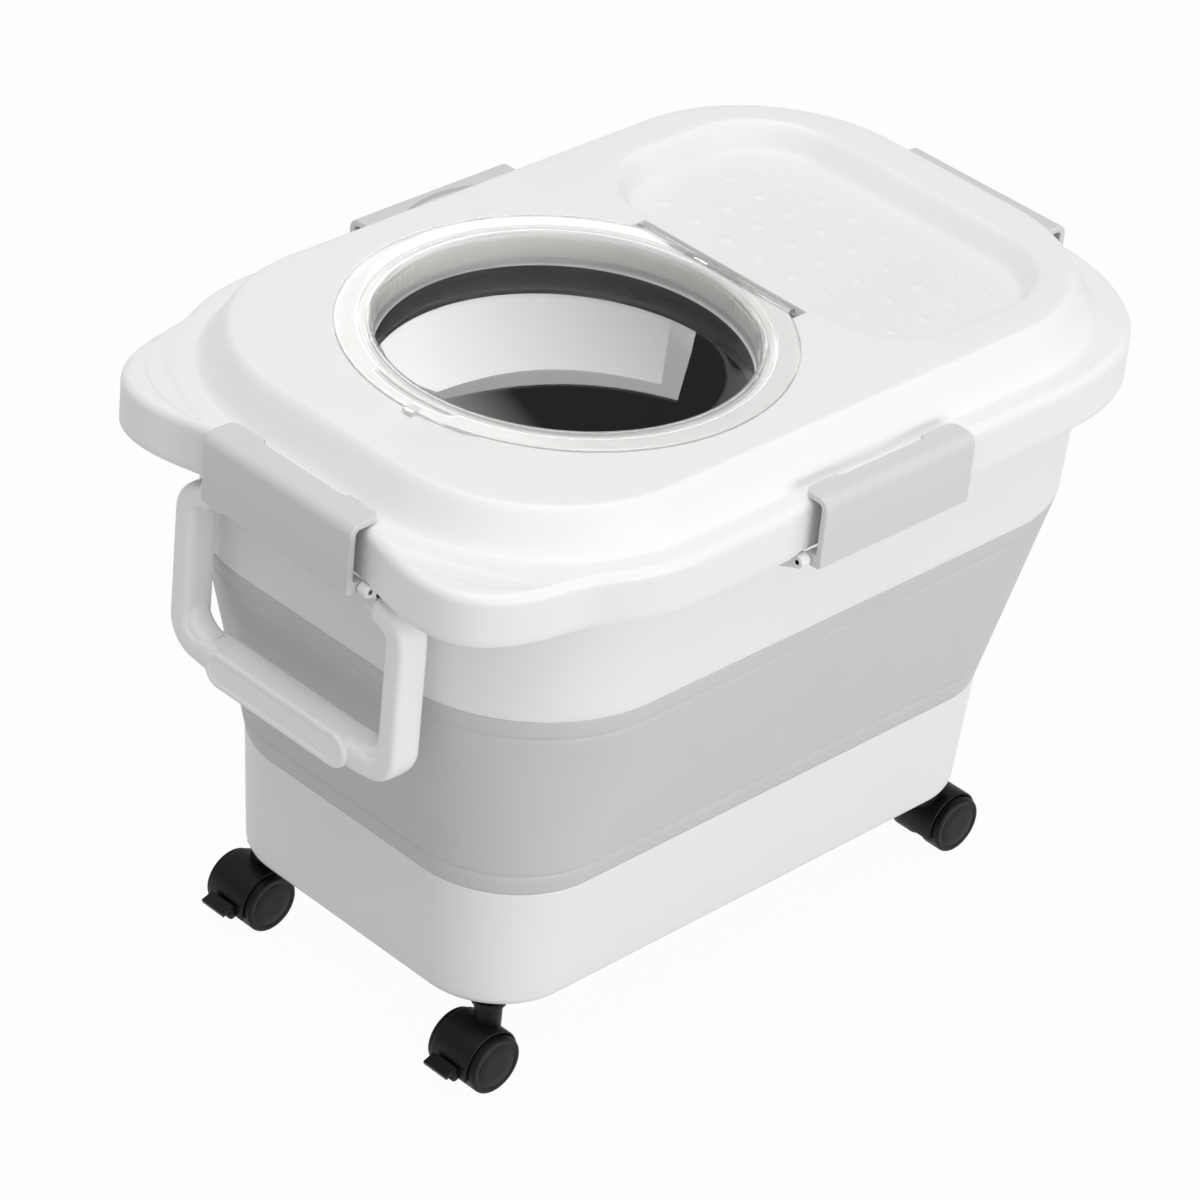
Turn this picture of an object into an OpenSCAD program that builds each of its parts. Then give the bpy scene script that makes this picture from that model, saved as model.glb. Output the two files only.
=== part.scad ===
// Collapsible rice bin on casters: tub, folding band, collar, lid with a clear flip cover,
// four over-centre latches, a bail handle and four twin-wheel swivel casters.
// Millimetres, +Z up, the front (handle side) faces -Y, the floor is z = 0.

/* [Tub] */
// Width of the tub at its base
tub_base_w = 205; // [180:1:215]
// Length of the tub at its base
tub_base_l = 352; // [320:1:362]
// Corner radius of the tub at its base
tub_base_r = 44; // [35:1:50]
// Width of the tub at its top
tub_top_w = 219; // [216:1:226]
// Length of the tub at its top
tub_top_l = 363; // [360:1:370]
// Corner radius of the tub at its top
tub_top_r = 55; // [51:1:60]
// Height of the tub wall
tub_h = 70.5; // [60:0.5:90]
// Wall of the tub, the collar and the lid
wall = 2.5; // [2:0.1:3]
// Radius round the tub's bottom edge
tub_fillet = 5; // [3:0.5:7]

/* [Folding band] */
// Height of the soft band between tub and collar, unfolded
band_h = 117.5; // [100:0.5:130]
// Thickness of the soft band
band_t = 2; // [1.6:0.1:2.4]
// Distance of each fold line from the edge of the band
fold_line = 12; // [8:1:18]
// Depth of the fold lines
fold_depth = 0.8; // [0.4:0.1:1]

/* [Collar] */
// Width of the collar at its bottom edge
collar_w = 274.5; // [268:0.5:278]
// Length of the collar at its bottom edge
collar_l = 417; // [410:0.5:421]
// Corner radius of the collar
collar_r = 82; // [76:1:88]
// Height of collar that shows below the lid
collar_show = 63.5; // [56:0.5:75]
// How much wider and longer the collar is at the top than at the bottom
collar_flare = 7; // [5:0.5:8]

/* [Lid] */
// Width of the raised deck at its foot
deck_w = 290; // [286:1:292]
// Length of the raised deck at its foot
deck_l = 445; // [441:1:447]
// Corner radius of the raised deck
deck_r = 102.5; // [96:0.5:108]
// Height of the lid's skirt
skirt_h = 26.5; // [24:0.5:30]
// Rise of the deck above the flange
deck_rise = 21; // [18:0.5:24]
// Run of the rounded shoulder from the deck's foot to its top
shoulder_run = 17; // [14:0.5:18]
// Width of the flange under the latches
flange_w = 9; // [8:0.5:10]
// Extra width of the flange beside the side latches
side_step = 2.4; // [1.5:0.1:3]
// How far the front finger lobes stand out beyond the flange
front_lobe = 25; // [16:1:26]
// How far the rear corners stand out beyond the flange
rear_lobe = 6.5; // [3:0.5:8]
// Radius along the flange's top edge
flange_edge_r = 5; // [3:0.5:6]

/* [Tray] */
// Width of the tray in the rear of the deck
tray_w = 219; // [200:1:222]
// Corner radius of the tray
tray_r = 50; // [40:1:55]
// Depth of the tray
tray_depth = 13.3; // [10:0.1:15]
// Distance from the deck's rear foot to the tray
tray_back = 38.5; // [36:0.5:42]
// Spacing of the anti-slip bumps
bump_pitch = 22.2; // [20:0.1:23]
// Diameter of an anti-slip bump
bump_d = 7.5; // [6:0.5:9]
// Height of an anti-slip bump
bump_h = 0.9; // [0.6:0.1:1.5]

/* [Flip cover] */
// Radius of the flip cover
cover_r = 110; // [106:0.5:111]
// Distance of the flip cover's centre in front of the body's centre
cover_y = 61; // [58:1:64]
// Thickness of the clear moulding
cover_t = 2.3; // [2:0.1:2.5]
// Radius of the opening through the lid
throat_r = 96; // [90:1:96]
// Depth of the throat below the deck
throat_h = 27; // [24:1:30]
// Depth of the clear pane below the deck
pane_depth = 17; // [14:0.5:18]
// Width of the straight side that carries the hinge
hinge_w = 99; // [90:1:100]
// Radius of the hinge pin
hinge_pin_r = 1.25; // [1:0.05:1.4]
// Radius of the hinge barrel
barrel_r = 2.8; // [2.6:0.1:2.9]

/* [Latches] */
// Length of a latch
latch_l = 101; // [95:1:104]
// Thickness of a latch
latch_t = 3.5; // [3:0.1:4]
// Gap between the skirt and a latch's plate
latch_gap = 6; // [5:0.1:6.5]
// How far a side latch hooks in over the flange
latch_hook = 6.3; // [5.5:0.1:6.5]
// How far the front and rear latches hook in over the flange
end_hook = 8.8; // [7:0.1:9]
// Radius of a latch's bend
bend_r = 6; // [4:0.5:6.5]
// Reach of the thumb scoop into a latch's hook
thumb_depth = 8.8; // [7:0.1:9]
// Length of the thumb scoop
thumb_l = 62; // [54:1:66]
// Plastic left under the thumb scoop
thumb_floor = 1.3; // [1:0.1:1.8]
// Radius of a latch's pivot pin
latch_pin_r = 1.25; // [1:0.05:1.4]
// Radius of a latch's knuckle
knuckle_r = 3; // [2.8:0.1:3.5]
// Thickness of the collar's ears that hold a latch
ear_t = 6; // [5:0.5:6]

/* [Handle] */
// Overall width of the handle
handle_w = 159; // [152:1:162]
// Drop from the handle's pivot to the middle of its grip
handle_drop = 84; // [78:1:88]
// Thickness of the handle's arms
arm_t = 13; // [12:0.5:14]
// Thickness of the grip
grip_t = 16; // [14:0.5:17]
// Depth of the handle, front to back
handle_d = 18; // [16:0.5:19]
// Radius of the handle's corners along its middle line
handle_r = 13; // [12:1:15]
// Radius of the fillets where the grip meets the arms
grip_fillet = 14; // [8:1:16]
// Radius of the handle's pivot pin
handle_pin_r = 2.5; // [2:0.1:3]
// Length of the blank plate on the grip
plate_l = 99; // [90:1:104]
// Height of the blank plate on the grip
plate_h = 19.5; // [17:0.5:20]

/* [Casters] */
// Height from the floor to the tub's base
caster_h = 45; // [42:0.5:48]
// Half the distance between the casters' stems across the bin
stem_x = 82; // [74:1:83]
// Half the distance between the casters' stems along the bin
stem_y = 157; // [146:1:158]
// Distance of the axle behind the stem
trail = 7.5; // [6:0.5:9]
// Radius of a wheel
wheel_r = 15.5; // [15:0.25:16]
// Width of a wheel
wheel_w = 12.5; // [11:0.5:13]
// Overall width of a caster
caster_w = 33; // [32:0.5:35]
// Radius of a wheel's axle
axle_r = 1.5; // [1.2:0.1:1.8]
// Radius of the stem's pivot pin
stem_r = 2.5; // [2.2:0.1:2.6]
// Width of the hood over the wheels
hood_w = 25; // [23:0.5:26]
// Width of a brake lever
brake_w = 16; // [14:0.5:17]
// Length of a brake lever's tab
brake_l = 6.8; // [5:0.1:10]

/* [Hidden] */
CORNERS = ["fl", "fr", "rl", "rr"];

$fn = 48;
white = "whitesmoke";
grey = "silver";
black = "#222222";
clear = [0.85, 0.9, 0.92, 0.45];

// Running clearance between a pin and what turns on it
run_fit = 0.05;
// Gap between soft or curved neighbours
seat_gap = 0.3;
// Play between parts that swing past each other
side_play = 0.5;
// Overshoot of a cutter past the face that it cuts
over = 1;

// Half the width of a fold line
fold_half = 1.5;

// Heights of the stack, from the floor up
z_tub = caster_h;
z_band = z_tub + tub_h;
z_collar = z_band + band_h;
z_skirt = z_collar + collar_show;
z_flange = z_skirt + skirt_h;
z_deck = z_flange + deck_rise;
seal_h = 6;
z_rim = z_flange - wall - seal_h;
z_tray = z_deck - tray_depth;

// The flange's edge behind the latches lies outside the deck and clears the collar's rim and the handle
skirt_play = 8;
handle_play = 2;
handle_sink = 0.5;
collar_top_w = collar_w + collar_flare;
collar_top_l = collar_l + collar_flare;
side_plane = max(deck_w / 2 + flange_w, collar_top_w / 2 + wall + skirt_play);
end_plane = max(deck_l / 2 + flange_w, collar_top_l / 2 + handle_d - handle_sink + handle_play);
side_flange_w = side_plane - deck_w / 2;
end_flange_w = end_plane - deck_l / 2;
// Angles from the bin's side where the flange's shape turns, and how its edge eases beside the latches
step_from = 20;
step_to = 60;
lobe_from = 26;
lobe_top = 57;
ease_in = 2;
ease_out = 14;

// Latches and their pivots
pivot_out = 1;
z_pivot = z_skirt - 1 - knuckle_r;
plate_in = latch_gap - pivot_out;
plate_out = plate_in + latch_t;
hook_z = z_flange + seat_gap - z_pivot;
hook_corner = 5.5;
ear_in = latch_l / 2 + side_play;
ear_out = ear_in + ear_t;
ear_r = knuckle_r + 0.3;
ear_embed = 1.6;
ear_slope = 0.4;
lug_r = 6.5;

// Rim plate and the seal on it, measured out from the deck's foot
rim_out = 5;
seal_in = 0.5;
seal_out = flange_w - flange_edge_r - seat_gap;

// Handle
arm_x = (handle_w - arm_t) / 2;
handle_y = handle_d / 2 - handle_sink - end_plane;
pivot_drop = 10.5;
z_handle = z_pivot - pivot_drop;
z_grip = z_handle - handle_drop;
boss_in = ear_out + side_play;
pin_grip = 10;
edge_r = 5;
fillet_w = 12;
plate_proud = 2.5;

// Flip cover and its hinge
cover_proud = 0.4;
cover_play = 0.5;
z_cover = z_deck + cover_proud - cover_t;
z_pane = z_deck - pane_depth;
spigot_gap = 1.7;
spigot_r = throat_r - spigot_gap;
cup_r = spigot_r - cover_t;
lip_chamfer = 1.3;
slot_out = 8.7;
slot_w = 1.6;
slot_depth = 0.8;
slot_from = -103;
slot_turn = 27;
seal_drop = 12;
sleeve_h = 9;
sleeve_t = 0.7;
rib_h = 1.2;
rib_pitch = 3;
hinge_y = throat_r - cover_y + wall + barrel_r + 0.1;
z_hinge = z_deck - barrel_r + 0.2;
pocket_front = hinge_y - barrel_r - side_play;
pocket_back = hinge_y + barrel_r + 1.3;
pocket_low = z_hinge - barrel_r - side_play;
pocket_relief = 3;
hinge_notch = 6;
pocket_half = hinge_w / 2 + hinge_notch;
pin_seat = 5;
catch_w = 6;
catch_out = 3.5;
catch_rise = 0.6;
catch_angle = -84;
scoop_r = 24;
scoop_depth = 1.8;
scoop_x = 26;
scoop_ball = (pow(scoop_r, 2) + pow(scoop_depth, 2)) / (2 * scoop_depth);

// Crescent finger recesses between two arcs, from a tip beside the latch to a tip round the corner
recess_depth = 1.6;
recess_gap = 12.5;
recess_tip = [8.5, 28];
recess_from = [-latch_l / 2 - recess_gap, -end_plane];
recess_to = recess_tip - [deck_w, deck_l] / 2;
recess_chord = norm(recess_to - recess_from);
recess_turn = atan2(recess_to[1] - recess_from[1], recess_to[0] - recess_from[0]);
recess_bulge = 15;
recess_hollow = 3.5;

// Tray, between the hinge and the deck's rear shoulder
tray_gap = 2;
tray_front = pocket_back + tray_gap;
tray_rear = deck_l / 2 - tray_back;
tray_l = tray_rear - tray_front;
tray_y = (tray_front + tray_rear) / 2;
tray_run = 11;
tray_steps = 6;

// Casters
stem_plate_r = 9;
stem_plate_t = 2.3;
plug_r = 4;
plug_h = 8;
boss_wall = 3;
neck_r = 7;
hood_in = wheel_r + side_play;
hood_wall = 1.2;
hood_drop = 5;
hood_out = hood_in + hood_wall;
fork_w = caster_w - 2 * wheel_w - 2 * side_play;
wheel_in = fork_w / 2 + side_play;
z_axle = wheel_r;
z_neck = z_tub - stem_plate_t - seat_gap;
stem_floor = 5;
z_stem = z_axle + axle_r + stem_floor;
tread_r = 1.5;
wheel_skin = 1.5;
hub_wall = 2.5;
hub_depth = 4;
disc_groove = [0.72, 0.7, 1.2];

// Brake lever: its ears stand on the hood's front, clear of the wheels
brake_r = 2;
brake_ear_t = 3;
brake_ear_r = 2.8;
brake_drop = 2.5;
brake_y = trail + sqrt(pow(wheel_r + brake_ear_r + side_play, 2) - pow(brake_drop, 2));
brake_z = z_axle - brake_drop;
brake_t = 2.2;
brake_lip = 0.4;
brake_tilt = 20;
trunnion_r = 1.2;

// Smooth step from 0 at a to 1 at b
function smooth(t, a, b) = let (u = min(1, max(0, (t - a) / (b - a)))) u * u * (3 - 2 * u);

// Ring of a rounded rectangle, counter-clockwise, at height z
corner_steps = 12;
function rounded_ring(w, l, r, z, y0 = 0) = [
    for (q = [0:3]) for (i = [0:corner_steps])
    let (a = 90 * q + 90 * i / corner_steps, sx = (q == 0 || q == 3) ? 1 : -1, sy = (q < 2) ? 1 : -1)
    [sx * (w / 2 - r) + r * cos(a), y0 + sy * (l / 2 - r) + r * sin(a), z]];

// Triangles between ring j and the next one, for rings of n points
function skin(n, m, spans) = [
    for (j = [0:spans - 1]) for (i = [0:n - 1])
    let (k = (i + 1) % n, low = j * n, high = ((j + 1) % m) * n)
    each [[low + i, high + i, high + k], [low + i, high + k, low + k]]];

// Solid inside a list of equal rings; its ends are fans round the middle of the first and the last ring
module loft(rings) {
    n = len(rings[0]);
    m = len(rings);
    middles = [for (g = [rings[0], rings[m - 1]]) (g[0] + g[n / 2]) / 2];
    low = [for (i = [0:n - 1]) [n * m, i, (i + 1) % n]];
    high = [for (i = [0:n - 1]) [n * m + 1, (m - 1) * n + (i + 1) % n, (m - 1) * n + i]];
    polyhedron(points = concat([for (g = rings) each g], middles), faces = concat(low, high, skin(n, m, m - 1)));
}

// Solid between rings that run up the outside and down the inside of a wall
module loft_wall(rings) {
    n = len(rings[0]);
    m = len(rings);
    polyhedron(points = [for (g = rings) each g], faces = skin(n, m, m));
}

function flat(ring) = [for (p = ring) [p[0], p[1]]];

// Tub, band and collar as rounded rectangles that grow with height
function blend(a, b, t) = a + (b - a) * t;
function tub_ring(z, inset) = let (t = (z - z_tub) / tub_h)
    rounded_ring(blend(tub_base_w, tub_top_w, t) - 2 * inset, blend(tub_base_l, tub_top_l, t) - 2 * inset,
        blend(tub_base_r, tub_top_r, t) - inset, z);
function band_ring(z, inset) = let (t = (z - z_band) / band_h)
    rounded_ring(blend(tub_top_w, collar_w, t) - 2 * inset, blend(tub_top_l, collar_l, t) - 2 * inset,
        blend(tub_top_r, collar_r, t) - inset, z);
function collar_grow(z) = collar_flare * (z - z_collar) / (z_rim - z_collar);
function collar_ring(z, inset) = let (g = collar_grow(z) - 2 * inset)
    rounded_ring(collar_w + g, collar_l + g, collar_r + g / 2, z);

// Outline of the deck's foot as [x, y, normal x, normal y, flange width], counter-clockwise
lid_steps = 24;
deck_cx = deck_w / 2 - deck_r;
deck_cy = deck_l / 2 - deck_r;
function corner_flange(a) = blend(side_flange_w, end_flange_w, smooth(a, 0, 90))
    + side_step * (1 - smooth(a, step_from, step_to));
function front_flange(a) = corner_flange(a)
    + front_lobe * smooth(a, lobe_from, lobe_top) * (1 - smooth(a, lobe_top, 90));
function rear_flange(a) = corner_flange(a) + rear_lobe * pow(sin(2 * a), 2);
function side_flange(y) = side_flange_w
    + side_step * smooth(abs(y), latch_l / 2 + ease_in, latch_l / 2 + ease_out);
function deck_corner(q) = [
    for (i = [0:lid_steps])
    let (a = 90 * q + 90 * i / lid_steps, sx = (q == 0 || q == 3) ? 1 : -1, sy = (q < 2) ? 1 : -1,
        from_side = asin(min(1, abs(sin(a)))))
    [sx * deck_cx + deck_r * cos(a), sy * deck_cy + deck_r * sin(a), cos(a), sin(a),
        (q < 2) ? rear_flange(from_side) : front_flange(from_side)]];
function deck_side(s) = [
    for (k = [-1, 1]) for (i = [0:3])
    let (y = s * k * (latch_l / 2 + ease_in + (ease_out - ease_in) * (k < 0 ? 3 - i : i) / 3))
    [s * deck_w / 2, y, s, 0, side_flange(y)]];
deck_path = concat(deck_corner(0), deck_corner(1), deck_side(-1), deck_corner(2), deck_corner(3), deck_side(1));

// Ring at share of the flange's width, plus inset, outside the deck's foot
function lid_ring(share, out, z) = [
    for (p = deck_path) let (o = share * p[4] + out) [p[0] + p[2] * o, p[1] + p[3] * o, z]];

// Shoulder from the foot, t = 0, to the deck's top, t = 1, and its underside
shoulder_steps = 7;
function shoulder_ring(t, depth) = let (slope = deck_rise * 6 * t * (1 - t) / shoulder_run, n = norm([slope, 1]))
    lid_ring(0, -shoulder_run * t - depth * slope / n, z_flange + deck_rise * smooth(t, 0, 1) - depth / n);

module tub() color(white) {
    inner_floor = z_tub + wall;
    difference() {
        union() {
            loft(concat(
                [for (a = [0:30:90]) tub_ring(z_tub + tub_fillet * (1 - cos(a)), tub_fillet * (1 - sin(a)))],
                [tub_ring(z_band, 0), tub_ring(z_band, wall)],
                [for (a = [90:-30:0]) tub_ring(inner_floor + tub_fillet * (1 - cos(a)),
                    wall + tub_fillet * (1 - sin(a)))]));
            at_stems(CORNERS) translate([0, 0, z_tub]) cylinder(r = plug_r + boss_wall, h = plug_h + boss_wall);
        }
        at_stems(CORNERS) translate([0, 0, z_tub - over]) cylinder(r = plug_r, h = plug_h + over);
    }
}

module fold_band() color(grey)
    loft_wall(concat(
        [band_ring(z_band, 0)],
        [for (z = [z_band + fold_line, z_collar - fold_line]) for (k = [-1:1])
            band_ring(z + k * fold_half, k == 0 ? fold_depth : 0)],
        [band_ring(z_collar, 0), band_ring(z_collar, band_t), band_ring(z_band, band_t)]));

module collar() color(white)
    difference() {
        union() {
            loft_wall([collar_ring(z_collar, 0), collar_ring(z_rim, 0), collar_ring(z_rim, wall),
                collar_ring(z_collar, wall)]);
            translate([0, 0, z_rim - wall]) linear_extrude(wall) rim_plate();
            on_side(0) latch_ears(side_plane);
            on_side(180) latch_ears(side_plane);
            on_end(90) latch_ears(end_plane);
            on_end(-90) {
                latch_ears(end_plane);
                handle_lugs();
            }
        }
        on_side(0) latch_bore();
        on_side(180) latch_bore();
        on_end(90) latch_bore();
        on_end(-90) latch_bore();
        handle_bore(ear_out + over);
    }

// Plate that reaches from the collar's wall to the lid's seal, whichever of the two lies further out
module rim_plate() difference() {
    union() {
        polygon(flat(lid_ring(0, rim_out, 0)));
        polygon(flat(collar_ring(z_rim, 0)));
    }
    intersection() {
        polygon(flat(lid_ring(0, 0, 0)));
        polygon(flat(collar_ring(z_rim, wall)));
    }
}

// Frames of the four latches: +X points outwards, the origin is on the pivot
module on_side(turn) rotate([0, 0, turn]) translate([side_plane + pivot_out, 0, z_pivot]) children();
module on_end(turn) rotate([0, 0, turn]) translate([end_plane + pivot_out, 0, z_pivot]) children();

// Pair of ears from the collar's wall out to a latch's pivot
module latch_ears(plane) {
    wall_x = (plane == side_plane ? collar_w : collar_l) / 2 + collar_grow(z_pivot) / 2;
    reach = plane + pivot_out - wall_x + ear_embed;
    pair_of_ears() {
        circle(ear_r);
        polygon([[0, ear_r], [-reach, ear_r], [-reach, -ear_r - reach * ear_slope], [0, -ear_r]]);
    }
}

module pair_of_ears() for (k = [-1, 1])
    translate([0, k * (ear_in + ear_t / 2), 0]) rotate([90, 0, 0])
        linear_extrude(ear_t, center = true) children();

// Lugs below the front ears, round the handle's pivot
module handle_lugs() {
    lug_x = end_plane + pivot_out + handle_y;
    lug_z = z_handle - z_pivot;
    reach = end_plane + pivot_out - collar_l / 2 - collar_grow(z_handle) / 2 + ear_embed;
    pair_of_ears() {
        translate([-lug_x, lug_z]) circle(lug_r);
        polygon([[-lug_x, lug_z + lug_r], [-reach, lug_z + lug_r], [-reach, lug_z - lug_r],
            [-lug_x, lug_z - lug_r]]);
        polygon([[0, -ear_r], [-reach, -ear_r], [-reach, lug_z], [-lug_x - lug_r / sqrt(2), lug_z]]);
    }
}

module latch_bore() rotate([90, 0, 0]) cylinder(r = latch_pin_r, h = 2 * ear_out + 2 * over, center = true);

module handle_bore(half) translate([0, handle_y, z_handle]) rotate([0, 90, 0])
    difference() {
        cylinder(r = handle_pin_r, h = 2 * half, center = true);
        cylinder(r = handle_pin_r + over, h = 2 * ear_in - 2 * over, center = true);
    }

module main_lid() color(white) {
    tray_bumps();
    difference() {
        union() {
            lid_shell();
            tray_loft(wall, z_deck - wall / 2);
            translate([0, -cover_y, z_deck - throat_h]) cylinder(r = throat_r + wall, h = throat_h - wall / 2);
            translate([0, 0, z_cover - wall]) linear_extrude(wall) cover_outline(wall);
            hinge_trough();
            scoop_at() translate([0, 0, z_deck - scoop_depth - wall]) cylinder(r = scoop_r + wall, h = wall);
            recess_undersides();
        }
        tray_loft(0, z_deck + over);
        translate([0, -cover_y, z_deck - throat_h - over]) cylinder(r = throat_r, h = throat_h + 2 * over);
        translate([0, 0, z_cover]) linear_extrude(cover_t + over) cover_outline(cover_play);
        translate([-pocket_half, pocket_front - pocket_relief, z_cover])
            cube([2 * pocket_half, pocket_relief + over, cover_t + over]);
        translate([-pocket_half, pocket_front, pocket_low])
            cube([2 * pocket_half, pocket_back - pocket_front, z_deck + over - pocket_low]);
        translate([0, hinge_y, z_hinge]) rotate([0, 90, 0])
            cylinder(r = hinge_pin_r, h = 2 * (pocket_half + pin_seat), center = true);
        catch_at() translate([0, -catch_w / 2 - side_play, z_cover])
            cube([catch_out + side_play, catch_w + 2 * side_play, cover_t + over]);
        scoop_at() translate([0, 0, z_deck - scoop_depth + scoop_ball]) sphere(scoop_ball);
        finger_recesses(z_flange - recess_depth, recess_depth + over, 0);
    }
}

// Rows of low bumps on the tray's floor
module tray_bumps() {
    cols = floor((tray_w - 2 * tray_run - bump_d) / bump_pitch / 2);
    rows = floor((tray_l - 2 * tray_run - bump_d) / bump_pitch / 2);
    for (i = [-cols:cols - 1], j = [-rows:rows - 1])
        translate([(i + 0.5) * bump_pitch, tray_y + (j + 0.5) * bump_pitch, z_tray - over])
            cylinder(d = bump_d, h = bump_h + over);
}

// Thin moulded skin: up the inside from the deck's underside, down to the skirt's edge and up the outside
module lid_shell() {
    ts = [for (i = [0:shoulder_steps]) i / shoulder_steps];
    inner_r = flange_edge_r - wall;
    loft(concat(
        [for (t = ts) shoulder_ring(1 - t, wall)],
        [for (a = [90:-45:0]) lid_ring(1, -flange_edge_r + inner_r * cos(a),
            z_flange - flange_edge_r + inner_r * sin(a))],
        [lid_ring(1, -wall, z_skirt), lid_ring(1, 0, z_skirt)],
        [for (a = [0:22.5:90]) lid_ring(1, -flange_edge_r * (1 - cos(a)),
            z_flange - flange_edge_r * (1 - sin(a)))],
        [for (t = ts) shoulder_ring(t, 0)]));
}

// Tray's bowl with a rounded slope, grown by the wall for its underside
module tray_loft(grow, top) {
    rise = tray_depth;
    loft(concat(
        [for (i = [0:tray_steps]) let (t = i / tray_steps, slope = rise * 6 * t * (1 - t) / tray_run,
            n = norm([slope, 1]), d = 2 * (grow * slope / n - tray_run * (1 - t)))
            rounded_ring(tray_w + d, tray_l + d, tray_r + d / 2, z_tray + rise * smooth(t, 0, 1) - grow / n, tray_y)],
        [rounded_ring(tray_w, tray_l, tray_r, top, tray_y)]));
}

// Flip cover's outline: a disc cut off along the hinge, with square shoulders at the hinge's ends
module cover_outline(grow) {
    difference() {
        translate([0, -cover_y]) circle(cover_r + grow);
        translate([-cover_r * 2, hinge_y]) square(cover_r * 4);
    }
    translate([-hinge_w / 2 - grow, hinge_y - 2 * barrel_r - grow]) square([hinge_w + 2 * grow, 2 * barrel_r + grow]);
}

module hinge_trough() {
    half = pocket_half + pin_seat;
    low = pocket_low - wall;
    translate([-half, pocket_front, low]) cube([2 * half, pocket_back + wall - pocket_front, z_deck - wall / 2 - low]);
}

module scoop_at() translate([scoop_x, -cover_y - cover_r + 2, 0]) children();

module catch_at() translate([0, -cover_y, 0]) rotate([0, 0, catch_angle]) translate([cover_r, 0, 0]) children();

// Crescent-shaped finger recesses on the two front lobes
module finger_recesses(z, h, grow) {
    for (s = [-1, 1]) translate([0, 0, z]) scale([s, 1, 1]) linear_extrude(h)
        translate(recess_from) rotate(recess_turn) translate([recess_chord / 2, 0]) difference() {
            bulge(recess_bulge, grow);
            bulge(recess_hollow, -grow);
        }
}

// Circle through both tips of a recess that rises by h over their chord
module bulge(h, grow) {
    r = (pow(recess_chord / 2, 2) + pow(h, 2)) / (2 * h);
    translate([0, h - r]) circle(r + grow);
}

// Skin under the finger recesses, inside the skirt and clear of the seal
module recess_undersides() intersection() {
    finger_recesses(z_flange - recess_depth - wall, recess_depth + wall / 2, wall);
    translate([0, 0, z_skirt]) linear_extrude(skirt_h) difference() {
        polygon(flat(lid_ring(1, -wall, 0)));
        polygon(flat(lid_ring(0, rim_out, 0)));
    }
}

module lid_seal() color("gainsboro") translate([0, 0, z_rim]) linear_extrude(seal_h) difference() {
    polygon(flat(lid_ring(0, seal_out, 0)));
    polygon(flat(lid_ring(0, seal_in, 0)));
}

module flip_cover() color(clear)
    difference() {
        union() {
            translate([0, 0, z_cover]) linear_extrude(cover_t) cover_outline(0);
            translate([0, -cover_y, z_pane - cover_t]) cylinder(r = spigot_r, h = z_cover - z_pane + 2 * cover_t);
            translate([0, hinge_y, z_hinge]) rotate([0, 90, 0]) cylinder(r = barrel_r, h = hinge_w, center = true);
            catch_at() translate([-2, -catch_w / 2, z_cover])
                cube([2 + catch_out, catch_w, cover_t + catch_rise]);
        }
        translate([0, -cover_y, z_pane]) cylinder(r = cup_r, h = pane_depth + over);
        translate([0, -cover_y, z_cover + cover_t - lip_chamfer])
            cylinder(r1 = cup_r, r2 = cup_r + 2 * lip_chamfer, h = 2 * lip_chamfer);
        translate([0, hinge_y, z_hinge]) rotate([0, 90, 0])
            cylinder(r = hinge_pin_r + run_fit, h = hinge_w + over, center = true);
        translate([0, -cover_y, z_cover + cover_t - slot_depth]) rotate([0, 0, slot_from])
            rotate_extrude(angle = slot_turn) translate([cup_r + slot_out, 0]) square([slot_w, over]);
    }

// Ribbed ring between the cover's spigot and the throat
module flip_cover_seal() color("gainsboro") translate([0, -cover_y, z_cover - seal_drop]) rotate_extrude() {
    translate([spigot_r, 0]) square([sleeve_t, sleeve_h]);
    for (i = [0:2]) translate([spigot_r, (rib_pitch - rib_h) / 2 + rib_pitch * i])
        square([throat_r - seat_gap - spigot_r, rib_h]);
}

module flip_hinge_pin() color("lightsteelblue") translate([0, hinge_y, z_hinge]) rotate([0, 90, 0])
    cylinder(r = hinge_pin_r, h = 2 * (pocket_half + pin_seat), center = true);

// Latch: hooked plate with a knuckle at its foot, rounded back corners and a scoop for the thumb
module latch(hook) color(grey)
    difference() {
        rotate([90, 0, 0]) linear_extrude(latch_l, center = true) latch_profile(hook);
        back_x = -pivot_out - hook;
        slot_r = (pow(thumb_l / 2, 2) + pow(thumb_depth, 2)) / (2 * thumb_depth);
        translate([back_x - slot_r + thumb_depth, 0, hook_z + thumb_floor]) cylinder(r = slot_r, h = latch_t + over);
        for (k = [-1, 1]) scale([1, k, 1]) translate([back_x, latch_l / 2 - hook_corner, hook_z - over])
            difference() {
                translate([-over, 0, 0]) cube([hook_corner + over, hook_corner + over, latch_t + 2 * over]);
                translate([hook_corner, 0, -over]) cylinder(r = hook_corner, h = latch_t + 4 * over);
            }
    }

module latch_profile(hook) difference() {
    top = hook_z + latch_t;
    back_x = -pivot_out - hook;
    union() {
        circle(knuckle_r);
        translate([0, -knuckle_r]) square([plate_out - knuckle_r, knuckle_r]);
        rounded_corner(plate_out, -knuckle_r, knuckle_r, -1);
        translate([plate_in, 0]) square([latch_t, top - bend_r]);
        rounded_corner(plate_out, top, bend_r, 1);
        translate([back_x, hook_z]) square([plate_out - bend_r - back_x, latch_t]);
    }
    circle(latch_pin_r + run_fit);
}

// Quarter disc that fills the corner at x, y from the left, below it (up = 1) or above it (up = -1)
module rounded_corner(x, y, r, up) translate([x - r, y - up * r]) intersection() {
    circle(r);
    translate([0, up > 0 ? 0 : -r]) square(r);
}

module latch_pin() color("lightsteelblue") rotate([90, 0, 0]) cylinder(r = latch_pin_r, h = 2 * ear_out, center = true);

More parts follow.
